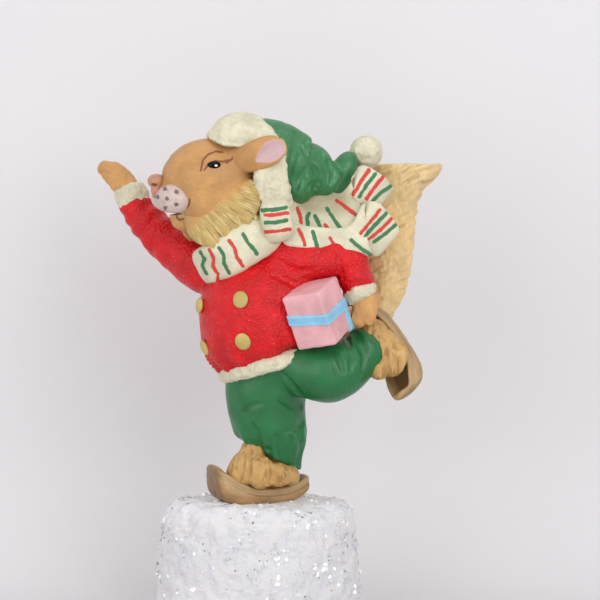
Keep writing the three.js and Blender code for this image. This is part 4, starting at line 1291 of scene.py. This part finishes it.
def glitter_paint():
    """Clear flakes: a few glow white as painted glints, others are dull or tinted."""
    p = Paint("glitter")
    pick = p.mark("pick")
    glint = linear("FFFFFF")
    for start, code in FLAKE_TONES:
        glint = p.mix(pick.step(start, start + PICK_EDGE), glint, linear(code))
    # A painted glow that makes the brightest flakes glint
    shine = p.mix(pick.step(BRIGHT_SHARE, BRIGHT_SHARE + PICK_EDGE), linear("FFFFFF"), linear("000000"))
    return p.done(Base_Color=glint, Roughness=0.35, Emission_Color=shine, Emission_Strength=0.25)


def flake_growth(paint):
    """Scatters flat flakes in patches over all but the underside of a mesh."""
    g = Growth("flakes", {"Flake": "NodeSocketFloat", "Density": "NodeSocketFloat", "Seed": "NodeSocketInt"})
    level = g.node("ShaderNodeSeparateXYZ", {}, {0: g.node("GeometryNodeInputNormal")}, output="Z")
    patch = g.node("ShaderNodeTexNoise", {}, {"Scale": 1 / (FLAKE_PATCH * MM), "Detail": 2.0})
    patch = patch.step(0.52, 0.62)
    spread = g.node("GeometryNodeDistributePointsOnFaces", {}, {
        "Mesh": g.given("Geometry"),
        "Selection": g.node("FunctionNodeCompare", {}, {"A": level, "B": FLAKE_FACING}),
        "Density": g.given("Density") * (patch + 0.1),
        "Seed": g.given("Seed")})
    around = Flow(g, spread.socket.node.outputs["Rotation"])
    tilt = g.node("FunctionNodeRandomValue", {"data_type": "FLOAT_VECTOR"}, {
        0: [-t for t in FLAKE_TURN], 1: FLAKE_TURN, "Seed": 3})
    around = g.node("FunctionNodeRotateRotation", {"rotation_space": "LOCAL"}, {0: around, 1: tilt})
    cut = {"Vertices": FLAKE_SIDES, "Radius": 0.5, "Depth": FLAKE_THICK}
    plate = g.node("GeometryNodeMeshCylinder", {}, cut)
    plate = g.node("GeometryNodeTransform", {}, {"Geometry": plate, "Translation": (0, 0, FLAKE_LIFT)})
    pick = g.chance(0.0, 1.0, 5)
    scale = g.chance(*FLAKE_SCALE, 4)
    bright = pick.step(BRIGHT_SHARE + PICK_EDGE, BRIGHT_SHARE)
    dark = pick.step(DARK_SHARE - 0.01, DARK_SHARE)
    scale = (scale + bright * scale * BRIGHT_GAIN - dark * scale * DARK_LOSS) * g.given("Flake")
    longer = g.chance(*FLAKE_STRETCH, 6)
    scale = g.node("ShaderNodeCombineXYZ", {}, {0: scale * longer, 1: scale, 2: scale})
    kept = {"Geometry": spread, "Name": "pick", "Value": pick}
    spread = g.node("GeometryNodeStoreNamedAttribute", {}, kept)
    sockets = {"Points": spread, "Instance": plate, "Rotation": around, "Scale": scale}
    g.end(g.node("GeometryNodeInstanceOnPoints", {}, sockets), paint)
    return g


class SQUIRREL_OT_snow(bpy.types.Operator):
    """Crumple the snow block and scatter its glitter flakes"""
    bl_idname = "squirrel.snow"
    bl_label = "Snow"

    def execute(self, context):
        snow, outward = sculpt("snow_base", snow_field, margin=2.5, step=0.5, reach=1.0)[::2]
        # How much the snow faces up, for the painted light on its top
        note(snow, level=ease(outward[:, 2], 0.3, 0.9))
        place(snow, "snow", snow_paint(), "snow_base")
        glitter = glitter_paint()
        area = sum(f.area for f in snow.data.polygons)
        flakes = flake_growth(glitter).bake("snow_flakes", snow, {
            "Flake": size("flake"), "Density": size("flakes") / area, "Seed": size("seed")})
        place(flakes, "snow", glitter)
        return {"FINISHED"}


class SQUIRREL_OT_skates(bpy.types.Operator):
    """Cast both skates"""
    bl_idname = "squirrel.skates"
    bl_label = "Skates"

    def execute(self, context):
        p = Resin(
            "bronze", tone("bronze"), linear("4A3420"), wash_amount=0.6, dry=linear("C4A87A"), dry_amount=0.6,
            mottle=0.2, grit=0.12, grit_size=0.7, gloss=0.4, brush=(0.25, 1, 1))
        # Painted shade on faces turned towards the toe
        p.lay(p.mark("prow").step(0.45, 0.8) * 0.45, linear("5A4029"))
        # Painted shade on the floor of the well
        p.lay(p.mark("well") * 0.45, linear("5A4029"))
        bronze = p.finish()
        for name, field, at, turn in (
                ("ground_skate", GROUND_SKATE, GROUND_AT, GROUND_TURN),
                ("raised_skate", RAISED_SKATE, RAISED_AT, RAISED_TURN)):
            made, points, outward = sculpt(name, field, margin=2.0, step=0.22, grain=gritty(0.1, 1.6, 31))
            local = (points - at) @ turn
            facing = outward @ turn
            below_rim = profile(local[:, 0], SKATE_RIM) - local[:, 2]
            # Upward faces inside the well, below the rim, which get painted shade
            well = ease(facing[:, 2], 0.3, 0.9) * ease(below_rim, 0.6, 1.6)
            note(made, prow=-facing[:, 0], well=well)
            place(made, "skate_bronze", bronze, name)
        return {"FINISHED"}


# The dark wash and painted shade in the grooves of the fur of the head, ears and paws
FUR_WASH_AND_SHADE = linear("6A3B1C")


def comb(points):
    """Short combed fur cut into the feet and paws."""
    return 0.16 * lumps(points * (1.0, 1.0, 0.45), 0.7, 41) + 0.1 * lumps(points, 1.6, 42)


class SQUIRREL_OT_feet(bpy.types.Operator):
    """Model both feet"""
    bl_idname = "squirrel.feet"
    bl_label = "Feet"

    def execute(self, context):
        p = Resin(
            "foot_fur", tone("foot"), linear("5F3A1B"), wash_amount=0.7, dry=linear("DFC48E"), dry_amount=0.5,
            grit=0.16, brush=(1, 1, 0.35))
        stroke = p.noise(1.1, 2.0, 0.5, (1, 1, 0.3)).step(0.52, 0.68)
        p.lay(stroke * 0.6, linear("8A5A28"))
        stroke = p.noise(1.3, 2.0, 0.5, (1, 1, 0.3)).step(0.42, 0.3)
        p.lay(stroke * 0.4, linear("E2C38A"))
        paint = p.finish()
        for name, field in (("ground_foot", GROUND_FOOT), ("raised_foot", RAISED_FOOT)):
            cast(name, field, "foot_fur", paint, margin=2.5, step=0.25, grain=comb)
        return {"FINISHED"}


class SQUIRREL_OT_trousers(bpy.types.Operator):
    """Model the trousers with their standing and raised legs"""
    bl_idname = "squirrel.trousers"
    bl_label = "Trousers"

    def execute(self, context):
        nodes = ("trousers_standing_leg", "trousers_raised_leg")
        paint = simple(
            "trousers_green", tone("green"), linear("0A2414"), wash_amount=0.8, dry=linear("4F9A6C"),
            dry_amount=0.3, grit=0.08, gloss=0.34)
        cast("trousers", TROUSERS, "trousers_green", paint, margin=2.5, step=0.35, nodes=nodes)
        return {"FINISHED"}


def jacket_paint():
    """Red paint, stippled dark in patches, with a few pale flecks painted as glints."""
    p = Resin(
        "jacket_red", tone("red"), linear("6E0A12"), wash_amount=0.6, dry=linear("E85A56"), grit=0.1,
        gloss=0.36)
    stipple = p.cells(0.7).step(0.2, 0.75)
    p.lay(stipple * p.noise(3.0).step(0.4, 0.7) * 0.4, linear("A20B14"))
    # Pale flecks: painted glints of light on the stipple
    p.lay(p.cells(1.3).step(0.13, 0.07) * p.noise(2.5).step(0.5, 0.6) * 0.6, linear("F0928C"))
    p.normal = p.bump(stipple, -0.13, p.normal)
    return p.finish(Specular_IOR_Level=0.35)


def button_growth(paint):
    """Sets an oval dome on each point of a mesh, along the point's facing."""
    g = Growth("buttons", {"Diameter": "NodeSocketFloat"})
    dome = g.node("GeometryNodeMeshUVSphere", {}, {"Segments": 28, "Rings": 14, "Radius": 0.5})
    dome = g.node("GeometryNodeTransform", {}, {"Geometry": dome, "Scale": (1.0, 1.12, 0.42)})
    facing = g.node("GeometryNodeInputNamedAttribute", {"data_type": "FLOAT_VECTOR"}, {"Name": "facing"})
    turn = g.node("FunctionNodeAlignRotationToVector", {"axis": "Z"}, {"Vector": facing})
    dots = g.node("GeometryNodeMeshToPoints", {}, {"Mesh": g.given("Geometry")})
    sockets = {"Points": dots, "Instance": dome, "Rotation": turn, "Scale": g.given("Diameter")}
    g.end(g.node("GeometryNodeInstanceOnPoints", {}, sockets), paint)
    return g


def sew_buttons():
    """The four buttons, where their CAD nodes are and facing out of the jacket."""
    names = ["jacket_button_%d" % i for i in (1, 2, 3, 4)]
    spots = np.array([np.mean([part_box(n)[0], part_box(n)[1]], 0) for n in names]) / MM
    hosts = link("button_spots", spots, [])
    facing = hosts.data.attributes.new("facing", "FLOAT_VECTOR", "POINT")
    facing.data.foreach_set("vector", slope(JACKET, spots).ravel())
    gold = simple("button_gold", tone("gold"), linear("6E5322"), grit=0.1, gloss=0.4)
    buttons = button_growth(gold).bake("jacket_buttons", hosts, {"Diameter": size("button")})
    bpy.data.objects.remove(hosts)
    buttons.data.polygons.foreach_set("use_smooth", [True] * len(buttons.data.polygons))
    place(buttons, "button_gold", gold, *names)


class SQUIRREL_OT_jacket(bpy.types.Operator):
    """Model the jacket with its sleeves, hem, cuffs and buttons"""
    bl_idname = "squirrel.jacket"
    bl_label = "Jacket"

    def execute(self, context):
        nodes = ("jacket_body", "raised_sleeve", "gift_sleeve")
        body = within(JACKET, half_space(HEM_MIDDLE, -HEM_AXIS), 0.6)
        field = creased(melt(2.2, body, RAISED_SLEEVE, GIFT_SLEEVE), JACKET_FOLDS)
        grain = gritty(0.07, 0.9, 51)
        cast("jacket", field, "jacket_red", jacket_paint(), margin=2.0, step=0.35, nodes=nodes, grain=grain)
        cream = trim_paint()
        for name, form in (("jacket_hem", HEM), ("raised_cuff", RAISED_CUFF), ("gift_cuff", GIFT_CUFF)):
            cast(name, form, "trim_cream", cream, margin=2.0, step=0.28, grain=fluff)
        sew_buttons()
        return {"FINISHED"}


class SQUIRREL_OT_paws(bpy.types.Operator):
    """Model the raised paw and the paw on the gift"""
    bl_idname = "squirrel.paws"
    bl_label = "Paws"

    def execute(self, context):
        paint = simple(
            "paw_fur", shade(tone("fur"), 1.12), FUR_WASH_AND_SHADE, wash_amount=0.6, dry=linear("E3C07C"),
            grit=0.1)
        for name, field in (("raised_paw", RAISED_PAW), ("gift_paw", GIFT_PAW)):
            cast(name, field, "face_fur", paint, margin=2.5, step=0.22, grain=comb)
        return {"FINISHED"}


# The gift's ribbon: half width, rise, tilt and how proud it lies; then its end's half width and start
STRAP_HALF = 1.35
STRAP_RISE = 0.4
STRAP_TILT = 0.12
STRAP_PROUD = 0.32
STRAP_END_HALF = 1.1
STRAP_END_FROM = 4.0


def gift_band(points):
    """The gift's ribbon: a strap round its girth and an end down its far edge."""
    local = (points - GIFT_AT) @ GIFT_TURN
    level = local[:, 2] - STRAP_RISE + STRAP_TILT * local[:, 0]
    strap = np.abs(level) - STRAP_HALF
    down = np.abs(local[:, 1] - GIFT_HALF[1] + STRAP_END_HALF) - STRAP_END_HALF
    down = np.maximum(down, np.maximum(level, STRAP_END_FROM - local[:, 0]))
    skin = block(GIFT_AT, GIFT_HALF + STRAP_PROUD, 0.8, GIFT_TURN)
    return soft_most(0.25, skin(points), np.minimum(strap, down))


def uneven(points):
    """The uneven faces of the wrapped gift."""
    return 0.12 * lumps(points, 3.0, 61) + 0.05 * lumps(points, 1.0, 62)


class SQUIRREL_OT_gift(bpy.types.Operator):
    """Model the wrapped gift and its ribbon"""
    bl_idname = "squirrel.gift"
    bl_label = "Gift"

    def execute(self, context):
        paint = simple("gift_pink", tone("pink"), linear("A25E66"), wash_amount=0.5, gloss=0.5, grit=0.06)
        cast("gift_box", GIFT_BOX, "gift_pink", paint, margin=2.0, step=0.3, grain=uneven)
        made = sculpt("gift_ribbon", gift_band, margin=2.0, step=0.25, nodes=("gift_box",), grain=uneven)[0]
        paint = simple("ribbon_blue", tone("blue"), linear("4C86AA"), wash_amount=0.4, gloss=0.45, grit=0.05)
        place(made, "ribbon_blue", paint, "gift_ribbon")
        return {"FINISHED"}


# Where the head's painted lines stop, back along its own X axis, and how far off they count behind that
LINES_END = 6.0
FAR_OFF = 9.0
# The glint in the eye on the head's own X and Z axes, and how much longer than high it is
GLINT_AT = (-2.6, 5.3)
GLINT_LONG = 1.5


def on_near_side(points):
    """Points of the head with those of its far side moved over to the near one."""
    local = (points - HEAD_AT) @ HEAD_TURN
    return np.where(local[:, 1:2] > 0, local * (1, -1, 1), local) @ HEAD_TURN.T + HEAD_AT


def short_fur(points):
    """The fine fur of the head, drawn out from nose to ear."""
    return 0.1 * lumps(points * (0.5, 1, 1), 0.8, 71)


def model_head():
    """The head, with the lines round its eyes and mouth."""
    head, points = sculpt("head", HEAD, margin=6.0, step=0.25, grain=short_fur)[:2]
    near = on_near_side(points)
    behind = ((points - HEAD_AT) @ HEAD_TURN)[:, 0] > LINES_END
    lid = np.min([near_line(near, line, flat=True) for line in LID_LINES], 0) + FAR_OFF * behind
    note(head, lid=lid, mouth=in_chunks(MOUTH, points))
    p = Resin(
        "face_fur", tone("fur"), FUR_WASH_AND_SHADE, wash_amount=0.75, dry=linear("E0BC86"), grit=0.07,
        mottle=0.16)
    p.lay(p.ragged("lid", 1.2, 0.3).step(0.36, 0.16) * 0.85, linear("74351F"))
    p.lay(p.mark("mouth").step(0.5, -0.1) * 0.8, linear("A2584E"))
    place(head, "face_fur", p.finish(), "head")


def model_pad(name, field):
    """A whisker pad with its dark dots."""
    pad, points = sculpt(name, field, margin=2.0, step=0.22)[:2]
    near = on_near_side(points)
    note(pad, dots=np.min([np.linalg.norm((near - d)[:, [0, 2]], axis=1) for d in WHISKER_DOTS], 0))
    p = Resin(name, tone("muzzle"), linear("9A6A5A"), wash_amount=0.6, grit=0.05)
    p.lay(p.noise(0.9, 3.0, 0.7).step(0.52, 0.66) * 0.45, linear("9C8684"))
    p.lay(p.ragged("dots", 0.7, 0.7, 3.0).step(0.64, 0.42) * 0.85, linear("54403A"))
    place(pad, "muzzle_white", p.finish(), name)


def model_eye(name, field):
    """A black eye with a painted glint."""
    eye, points = sculpt(name, field, margin=1.5, step=0.14)[:2]
    local = (points - HEAD_AT) @ HEAD_TURN
    note(eye, glint=np.hypot((local[:, 0] - GLINT_AT[0]) / GLINT_LONG, local[:, 2] - GLINT_AT[1]))
    p = Paint(name)
    shine = p.ragged("glint", 0.5, 0.1).step(0.3, 0.2)
    dark = p.mix(p.noise(1.0).step(0.4, 0.7), linear("0A0706"), linear("150D0A"))
    dark = p.mix(shine, dark, linear("F2F0EC"))
    place(eye, "eye_black", p.done(Base_Color=dark, Roughness=0.2, Specular_IOR_Level=0.15), name)


class SQUIRREL_OT_head(bpy.types.Operator):
    """Model the head with its whisker pads, nose and eyes"""
    bl_idname = "squirrel.head"
    bl_label = "Head"

    def execute(self, context):
        model_head()
        for side, turn in SIDES:
            model_pad(side + "whisker_pad", turn(NEAR_PAD))
        paint = simple("nose_skin", tone("nose"), linear("6A3A2C"), gloss=0.4, grit=0.05)
        cast("nose", NOSE, "nose_skin", paint, margin=2.0, step=0.2)
        for side, turn in SIDES:
            model_eye(side + "eye", turn(NEAR_EYE))
        return {"FINISHED"}


class SQUIRREL_OT_ears(bpy.types.Operator):
    """Model the ears"""
    bl_idname = "squirrel.ears"
    bl_label = "Ears"

    def execute(self, context):
        for side, turn in SIDES:
            name = side + "ear"
            ear, points = sculpt(name, turn(NEAR_EAR), margin=4.5, step=0.22)[:2]
            note(ear, skin=in_chunks(turn(EAR_DISH), points))
            p = Resin(name, tone("fur"), FUR_WASH_AND_SHADE, grit=0.1)
            p.lay(p.ragged("skin", 0.9, 0.4).step(0.45, 0.1), tone("skin"))
            place(ear, "ear_skin", p.finish(), name)
        return {"FINISHED"}


def ruff_root(points):
    """Distances from the line where the near cheek's fur starts."""
    return near_line(points, [seen(*at) for at in RUFF_ROOTS], flat=True)


def ruff_shade_edge(points):
    """Distances from the fur's edge along the brim, where shade is painted."""
    return near_line(points, seen_line(RUFF_DEPTH, *RUFF_SHADE_EDGE), flat=True)


def ruff_lie(points):
    """Places across the fall of the near cheek's fur, in mm."""
    away = points - RUFF_POLE
    return np.arctan2(away[:, 0], -away[:, 2]) * RUFF_REACH


def ruff_paint():
    """Straw fur, tan at its roots, streaked along its fall, with painted shade along the brim."""
    p = Resin(
        "ruff_fur", tone("ruff"), linear("7A5222"), wash_amount=0.45, dry=linear("E8D8A2"), dry_amount=0.6,
        grit=0.12)
    p.lay(p.ragged("root", 1.2, 1.0).step(4.2, 0.4) * 0.75, shade(tone("fur"), 1.12))
    light = p.streaks("lie", "root", 0.5, 4.0).step(0.5, 0.68)
    p.lay(light * p.mark("root").step(0.5, 3.0) * 0.65, linear("E4D296"))
    dark = p.streaks("lie", "root", 0.8, 6.0).step(0.44, 0.32)
    p.lay(dark * p.mark("root").step(1.5, 6.0) * 0.6, linear("86602C"))
    # Painted shade in a dark line where the fur meets the brim
    p.lay(p.ragged("edge", 1.0, 0.6).step(0.55, 0.2) * 0.75, linear("6A4220"))
    return p.finish()


class SQUIRREL_OT_ruffs(bpy.types.Operator):
    """Model the cheek ruffs lock by lock"""
    bl_idname = "squirrel.ruffs"
    bl_label = "Cheek ruffs"

    def execute(self, context):
        straw = ruff_paint()
        for side, turn in SIDES:
            name = side + "cheek_ruff"
            made, points = sculpt(name, turn(NEAR_RUFF), margin=3.5, step=0.25, reach=0.6)[:2]
            note(made, root=turn(ruff_root)(points), lie=turn(ruff_lie)(points), edge=turn(ruff_shade_edge)(points))
            place(made, "ruff_fur", straw, name)
        return {"FINISHED"}


class SQUIRREL_OT_hat(bpy.types.Operator):
    """Model the cap with its brim and pompon"""
    bl_idname = "squirrel.hat"
    bl_label = "Hat"

    def execute(self, context):
        cream = trim_paint()
        cast("hat_brim", BRIM, "trim_cream", cream, margin=2.5, step=0.3, grain=fluff)
        cast("hat_pompon", POMPON, "trim_cream", cream, margin=2.5, step=0.25, grain=fluff)
        p = Resin(
            "hat_green", tone("cap"), linear("0E3019"), wash_amount=0.75, dry=linear("7FB58A"),
            dry_amount=0.5, grit=0.14, grit_size=0.6, gloss=0.36, brush=(1, 1, 0.3))
        stroke = p.noise(0.7, 2.0, 0.5, (1, 1, 0.25)).step(0.58, 0.7) * p.noise(5.0).step(0.45, 0.6)
        p.lay(stroke * 0.4, linear("8CC09A"))
        cast("hat_cap", CAP, "hat_green", p.finish(), margin=2.5, step=0.3)
        return {"FINISHED"}


# Both edges of each flying end, from the knot out: two pixels and a depth each
UPPER_EDGES = (
    ((284, 206, -9.0), (286, 240, -9.0)), ((300, 195, 0.0), (304, 240, -8.4)),
    ((316, 192, 1.0), (322, 240, -7.6)), ((328, 192, 0.5), (346, 239, -6.4)),
    ((341, 193, -2.5), (372, 227, -5.2)), ((351, 182, -4.2), (366, 212, -5.0)),
    ((362, 166, -5.0), (352, 199, -5.0)), ((379, 173, -4.4), (362, 203.5, -4.8)),
    ((391, 185, -3.6), (373, 205, -4.2)))
LOWER_EDGES = (
    ((284, 222, -10.6), (290, 247, -10.6)), ((305, 226, -9.8), (312, 249, -10.4)),
    ((325, 228, -9.0), (333, 251, -10.0)), ((340, 228, -8.2), (356, 254, -9.2)),
    ((352, 223, -7.6), (371, 256, -8.4)), ((363, 204, -7.2), (367, 247, -7.8)),
    ((379, 203, -7.4), (355, 239, -7.6)), ((389, 214.5, -6.8), (362, 246, -7.0)),
    ((397, 225, -6.0), (372, 255, -6.2)))
# Strokes of paint on each piece of the scarf, as pixels along them
STRIPES = {
    "scarf_wrap": (
        ("green", (200, 252), (204.5, 259), (202, 266), (206, 274)),
        ("red", (210, 250), (214, 258), (213, 266), (218, 274), (217.5, 281)),
        ("green", (219, 247.5), (224.5, 255), (224.5, 262.5), (229.5, 273)),
        ("red", (230, 240), (235, 247.5), (237.5, 257), (243, 265)),
        ("green", (243.5, 233.5), (249, 242.5), (257.5, 253))),
    "scarf_knot": (
        ("green", (262.5, 210), (274, 209.5), (286, 207.5)),
        ("red", (265.5, 215), (276, 214.5), (287.5, 212.5)),
        ("green", (266, 222.3), (275, 222), (286.5, 219.5)),
        ("red", (266, 231.5), (278, 230.5), (290, 228.7))),
    "scarf_end_upper": (
        ("red", (297, 208), (300, 215), (301, 223)), ("green", (309, 214), (307, 219), (308, 226)),
        ("green", (315, 216), (320, 226), (325, 238)), ("red", (325, 225), (332, 238)),
        ("green", (327, 209), (335, 221), (346, 236)), ("red", (337, 201), (347, 208), (360, 218)),
        ("red", (369, 170), (361, 182), (353, 195)), ("green", (376, 174), (367, 185), (359.5, 197)),
        ("red", (383, 177.5), (375, 187), (367, 199)), ("green", (391, 186), (381, 193), (371, 203))),
    "scarf_end_lower": (
        ("red", (299, 229), (303, 238), (305, 245)), ("green", (313, 232), (317, 247)),
        ("red", (330, 238), (337, 249)), ("green", (351, 240), (360, 248), (371, 255)),
        ("red", (380, 210), (371, 221), (361, 233)), ("green", (386, 213.5), (376, 224), (365, 236)),
        ("red", (393.5, 217), (382, 229), (369, 239)), ("green", (398, 223), (387, 233), (374, 242))),
}
SCARF_DEPTH = -9.0
# Stripes out of the photo's sight: the depth they begin at, and their first bearings and spacing in degrees
HIDDEN_FROM = -2.0
HIDDEN_STRIPES = (("green_paint", 14.0), ("red_paint", 34.0))
STRIPE_SPACING = 40.0
WRAP_RADIUS = 13.5
# A flying end: points across it, half its thickness, the shape of its edges and the turns that close its ends
RIBBON_ACROSS = 33
RIBBON_HALF = 1.1
RIBBON_SQUARE = 5.7
RIBBON_ROUND = 0.3
RIBBON_END_TURNS = (0.5, 1.0, 1.4)


def stripes(name, points):
    """How far points of a piece are from its red and green stripes, as the photo shows them."""
    far = {}
    for colour in ("red", "green"):
        lines = [seen_line(SCARF_DEPTH, *row[1:]) for row in STRIPES[name] if row[0] == colour]
        far[colour + "_paint"] = np.min([near_line(points, line, flat=True) for line in lines], 0)
    return far


def hidden_stripes(points, offset):
    """How far points of the wrap are from stripes that stand evenly round it."""
    front = np.cross(NEAR, SCARF_AXIS)
    middle = points - SCARF_MIDDLE
    bearing = np.degrees(np.arctan2(middle @ NEAR, middle @ front))
    half = STRIPE_SPACING / 2
    return np.radians(np.abs(np.mod(bearing - offset + half, STRIPE_SPACING) - half)) * WRAP_RADIUS


def ribbon(name, edges):
    """A strip of cloth between two edges seen in the photo."""
    rows = spline([np.concatenate((seen(*a), seen(*b))) for a, b in edges])
    middle = (rows[:, :3] + rows[:, 3:]) / 2
    across = (rows[:, 3:] - rows[:, :3]) / 2
    ahead = np.gradient(middle, axis=0)
    thick = unit(np.cross(across, ahead)) * RIBBON_HALF
    share = np.sin(np.linspace(-np.pi / 2, np.pi / 2, RIBBON_ACROSS))
    swell = (1 - np.abs(share) ** RIBBON_SQUARE) ** RIBBON_ROUND
    wide = np.concatenate((share[:0:-1], share[:-1]))
    deep = np.concatenate((swell[:0:-1], -swell[:-1]))
    loops = [m + wide[:, None] * a + deep[:, None] * t for m, a, t in zip(middle, across, thick)]
    for end, way in ((0, -1), (-1, 1)):
        for turn in RIBBON_END_TURNS:
            push = unit(ahead[end]) * way * 1.5 * RIBBON_HALF * math.sin(turn)
            loop = middle[end] + push + wide[:, None] * across[end] * (0.6 + 0.4 * math.cos(turn))
            loop = loop + deep[:, None] * thick[end] * math.cos(turn)
            loops.insert(0 if way < 0 else len(loops), loop)
    n = len(wide)
    faces = [(i * n + j, i * n + (j + 1) % n, (i + 1) * n + (j + 1) % n, (i + 1) * n + j)
             for i in range(len(loops) - 1) for j in range(n)]
    faces += [tuple(range(n))[::-1], tuple((len(loops) - 1) * n + j for j in range(n))]
    points = np.vstack(loops)
    points = points + 0.12 * np.stack([lumps(points, 2.0, 81 + i) for i in range(3)], 1)
    made = link(name, points, faces)
    note(made, **stripes(name, points))
    # Painted shade: the wash darkens the cloth towards the back, where the cap overhangs it
    note(made, hollow=ease(points[:, 1], -6.5, -1.5), crest=np.zeros(len(points)))
    return made


class SQUIRREL_OT_scarf(bpy.types.Operator):
    """Model the striped scarf: wrap, knot and flying ends"""
    bl_idname = "squirrel.scarf"
    bl_label = "Scarf"

    def execute(self, context):
        p = Resin(
            "scarf_striped", tone("cream"), linear("A08C64"), wash_amount=0.55, grit=0.12, grit_size=0.6,
            gloss=0.7)
        half = size("stripe") / MM / 2
        for colour in ("red", "green"):
            edge = p.ragged(colour + "_paint", 1.3, 0.7, 3.0)
            p.lay(edge.step(half + 0.12, half - 0.12) * 0.95, tone("stripe_" + colour))
        cloth = p.finish()
        wrap, points = sculpt("scarf_wrap", WRAP, margin=3.0, step=0.3, grain=gritty(0.2, 2.4, 82))[:2]
        far = stripes("scarf_wrap", points)
        hidden = points[:, 1] > HIDDEN_FROM
        for mark, offset in HIDDEN_STRIPES:
            far[mark] = np.where(hidden, hidden_stripes(points, offset), far[mark])
        note(wrap, **far)
        place(wrap, "scarf_striped", cloth, "scarf_wrap")
        knot, points = sculpt("scarf_knot", KNOT, margin=3.5, step=0.28, grain=gritty(0.15, 2.0, 83))[:2]
        note(knot, **stripes("scarf_knot", points))
        place(knot, "scarf_striped", cloth, "scarf_knot")
        for name, edges in (("scarf_end_upper", UPPER_EDGES), ("scarf_end_lower", LOWER_EDGES)):
            place(ribbon(name, edges), "scarf_striped", cloth, name)
        return {"FINISHED"}


class SQUIRREL_OT_tail(bpy.types.Operator):
    """Model the combed tail"""
    bl_idname = "squirrel.tail"
    bl_label = "Tail"

    def execute(self, context):
        paint = simple(
            "tail_fur", tone("tail"), linear("8E6836"), wash_amount=0.5, dry=linear("EBD9AC"),
            dry_amount=0.5, grit=0.2, grit_size=0.6, brush=(1, 1, 0.3))
        cast("tail", TAIL, "tail_fur", paint, margin=7.0, step=0.35, grain=comb)
        return {"FINISHED"}


class SQUIRREL_OT_pins(bpy.types.Operator):
    """Finish the steel pins inside the casting"""
    bl_idname = "squirrel.pins"
    bl_label = "Pins"

    def execute(self, context):
        p = Paint("pin_steel")
        drawn = p.noise(0.4, 2.0, 0.5, (1, 1, 0.05))
        grey = p.mix(drawn, linear("8E9194"), linear("B4B7BA"))
        steel = p.done(Base_Color=grey, Metallic=1.0, Roughness=drawn * 0.2 + 0.3)
        for name in ("leg_rod", "neck_pin", "arm_pin", "raised_leg_pin", "tail_pin"):
            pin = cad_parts[name]
            pin.data.materials.clear()
            pin.data.materials.append(steel)
        return {"FINISHED"}


STEPS = (
    SQUIRREL_OT_stage, SQUIRREL_OT_snow, SQUIRREL_OT_skates, SQUIRREL_OT_feet, SQUIRREL_OT_trousers,
    SQUIRREL_OT_jacket, SQUIRREL_OT_paws, SQUIRREL_OT_gift, SQUIRREL_OT_head, SQUIRREL_OT_ears,
    SQUIRREL_OT_ruffs, SQUIRREL_OT_hat, SQUIRREL_OT_scarf, SQUIRREL_OT_tail, SQUIRREL_OT_pins,
)


class SQUIRREL_PT_panel(bpy.types.Panel):
    """The figurine's pieces, sizes and colours"""
    bl_label = "Squirrel figurine"
    bl_space_type = "VIEW_3D"
    bl_region_type = "UI"
    bl_category = "Squirrel"

    def draw(self, context):
        for step in STEPS:
            self.layout.operator(step.bl_idname)
        for group in (context.scene.squirrel_sizes, context.scene.squirrel_colours):
            for name in group.__annotations__:
                self.layout.prop(group, name)


CLASSES = (SquirrelColours, SquirrelSizes, *STEPS, SQUIRREL_PT_panel)


def register():
    """Adds the classes and the panel's settings."""
    for made in CLASSES:
        bpy.utils.register_class(made)
    bpy.types.Scene.squirrel_colours = bpy.props.PointerProperty(type=SquirrelColours)
    bpy.types.Scene.squirrel_sizes = bpy.props.PointerProperty(type=SquirrelSizes)


def unregister():
    """Takes them away again."""
    del bpy.types.Scene.squirrel_sizes
    del bpy.types.Scene.squirrel_colours
    for made in reversed(CLASSES):
        bpy.utils.unregister_class(made)


def main():
    """Makes the figurine step by step."""
    register()
    for step in STEPS:
        family, action = step.bl_idname.split(".")
        getattr(getattr(bpy.ops, family), action)()


if __name__ == "__main__":
    main()
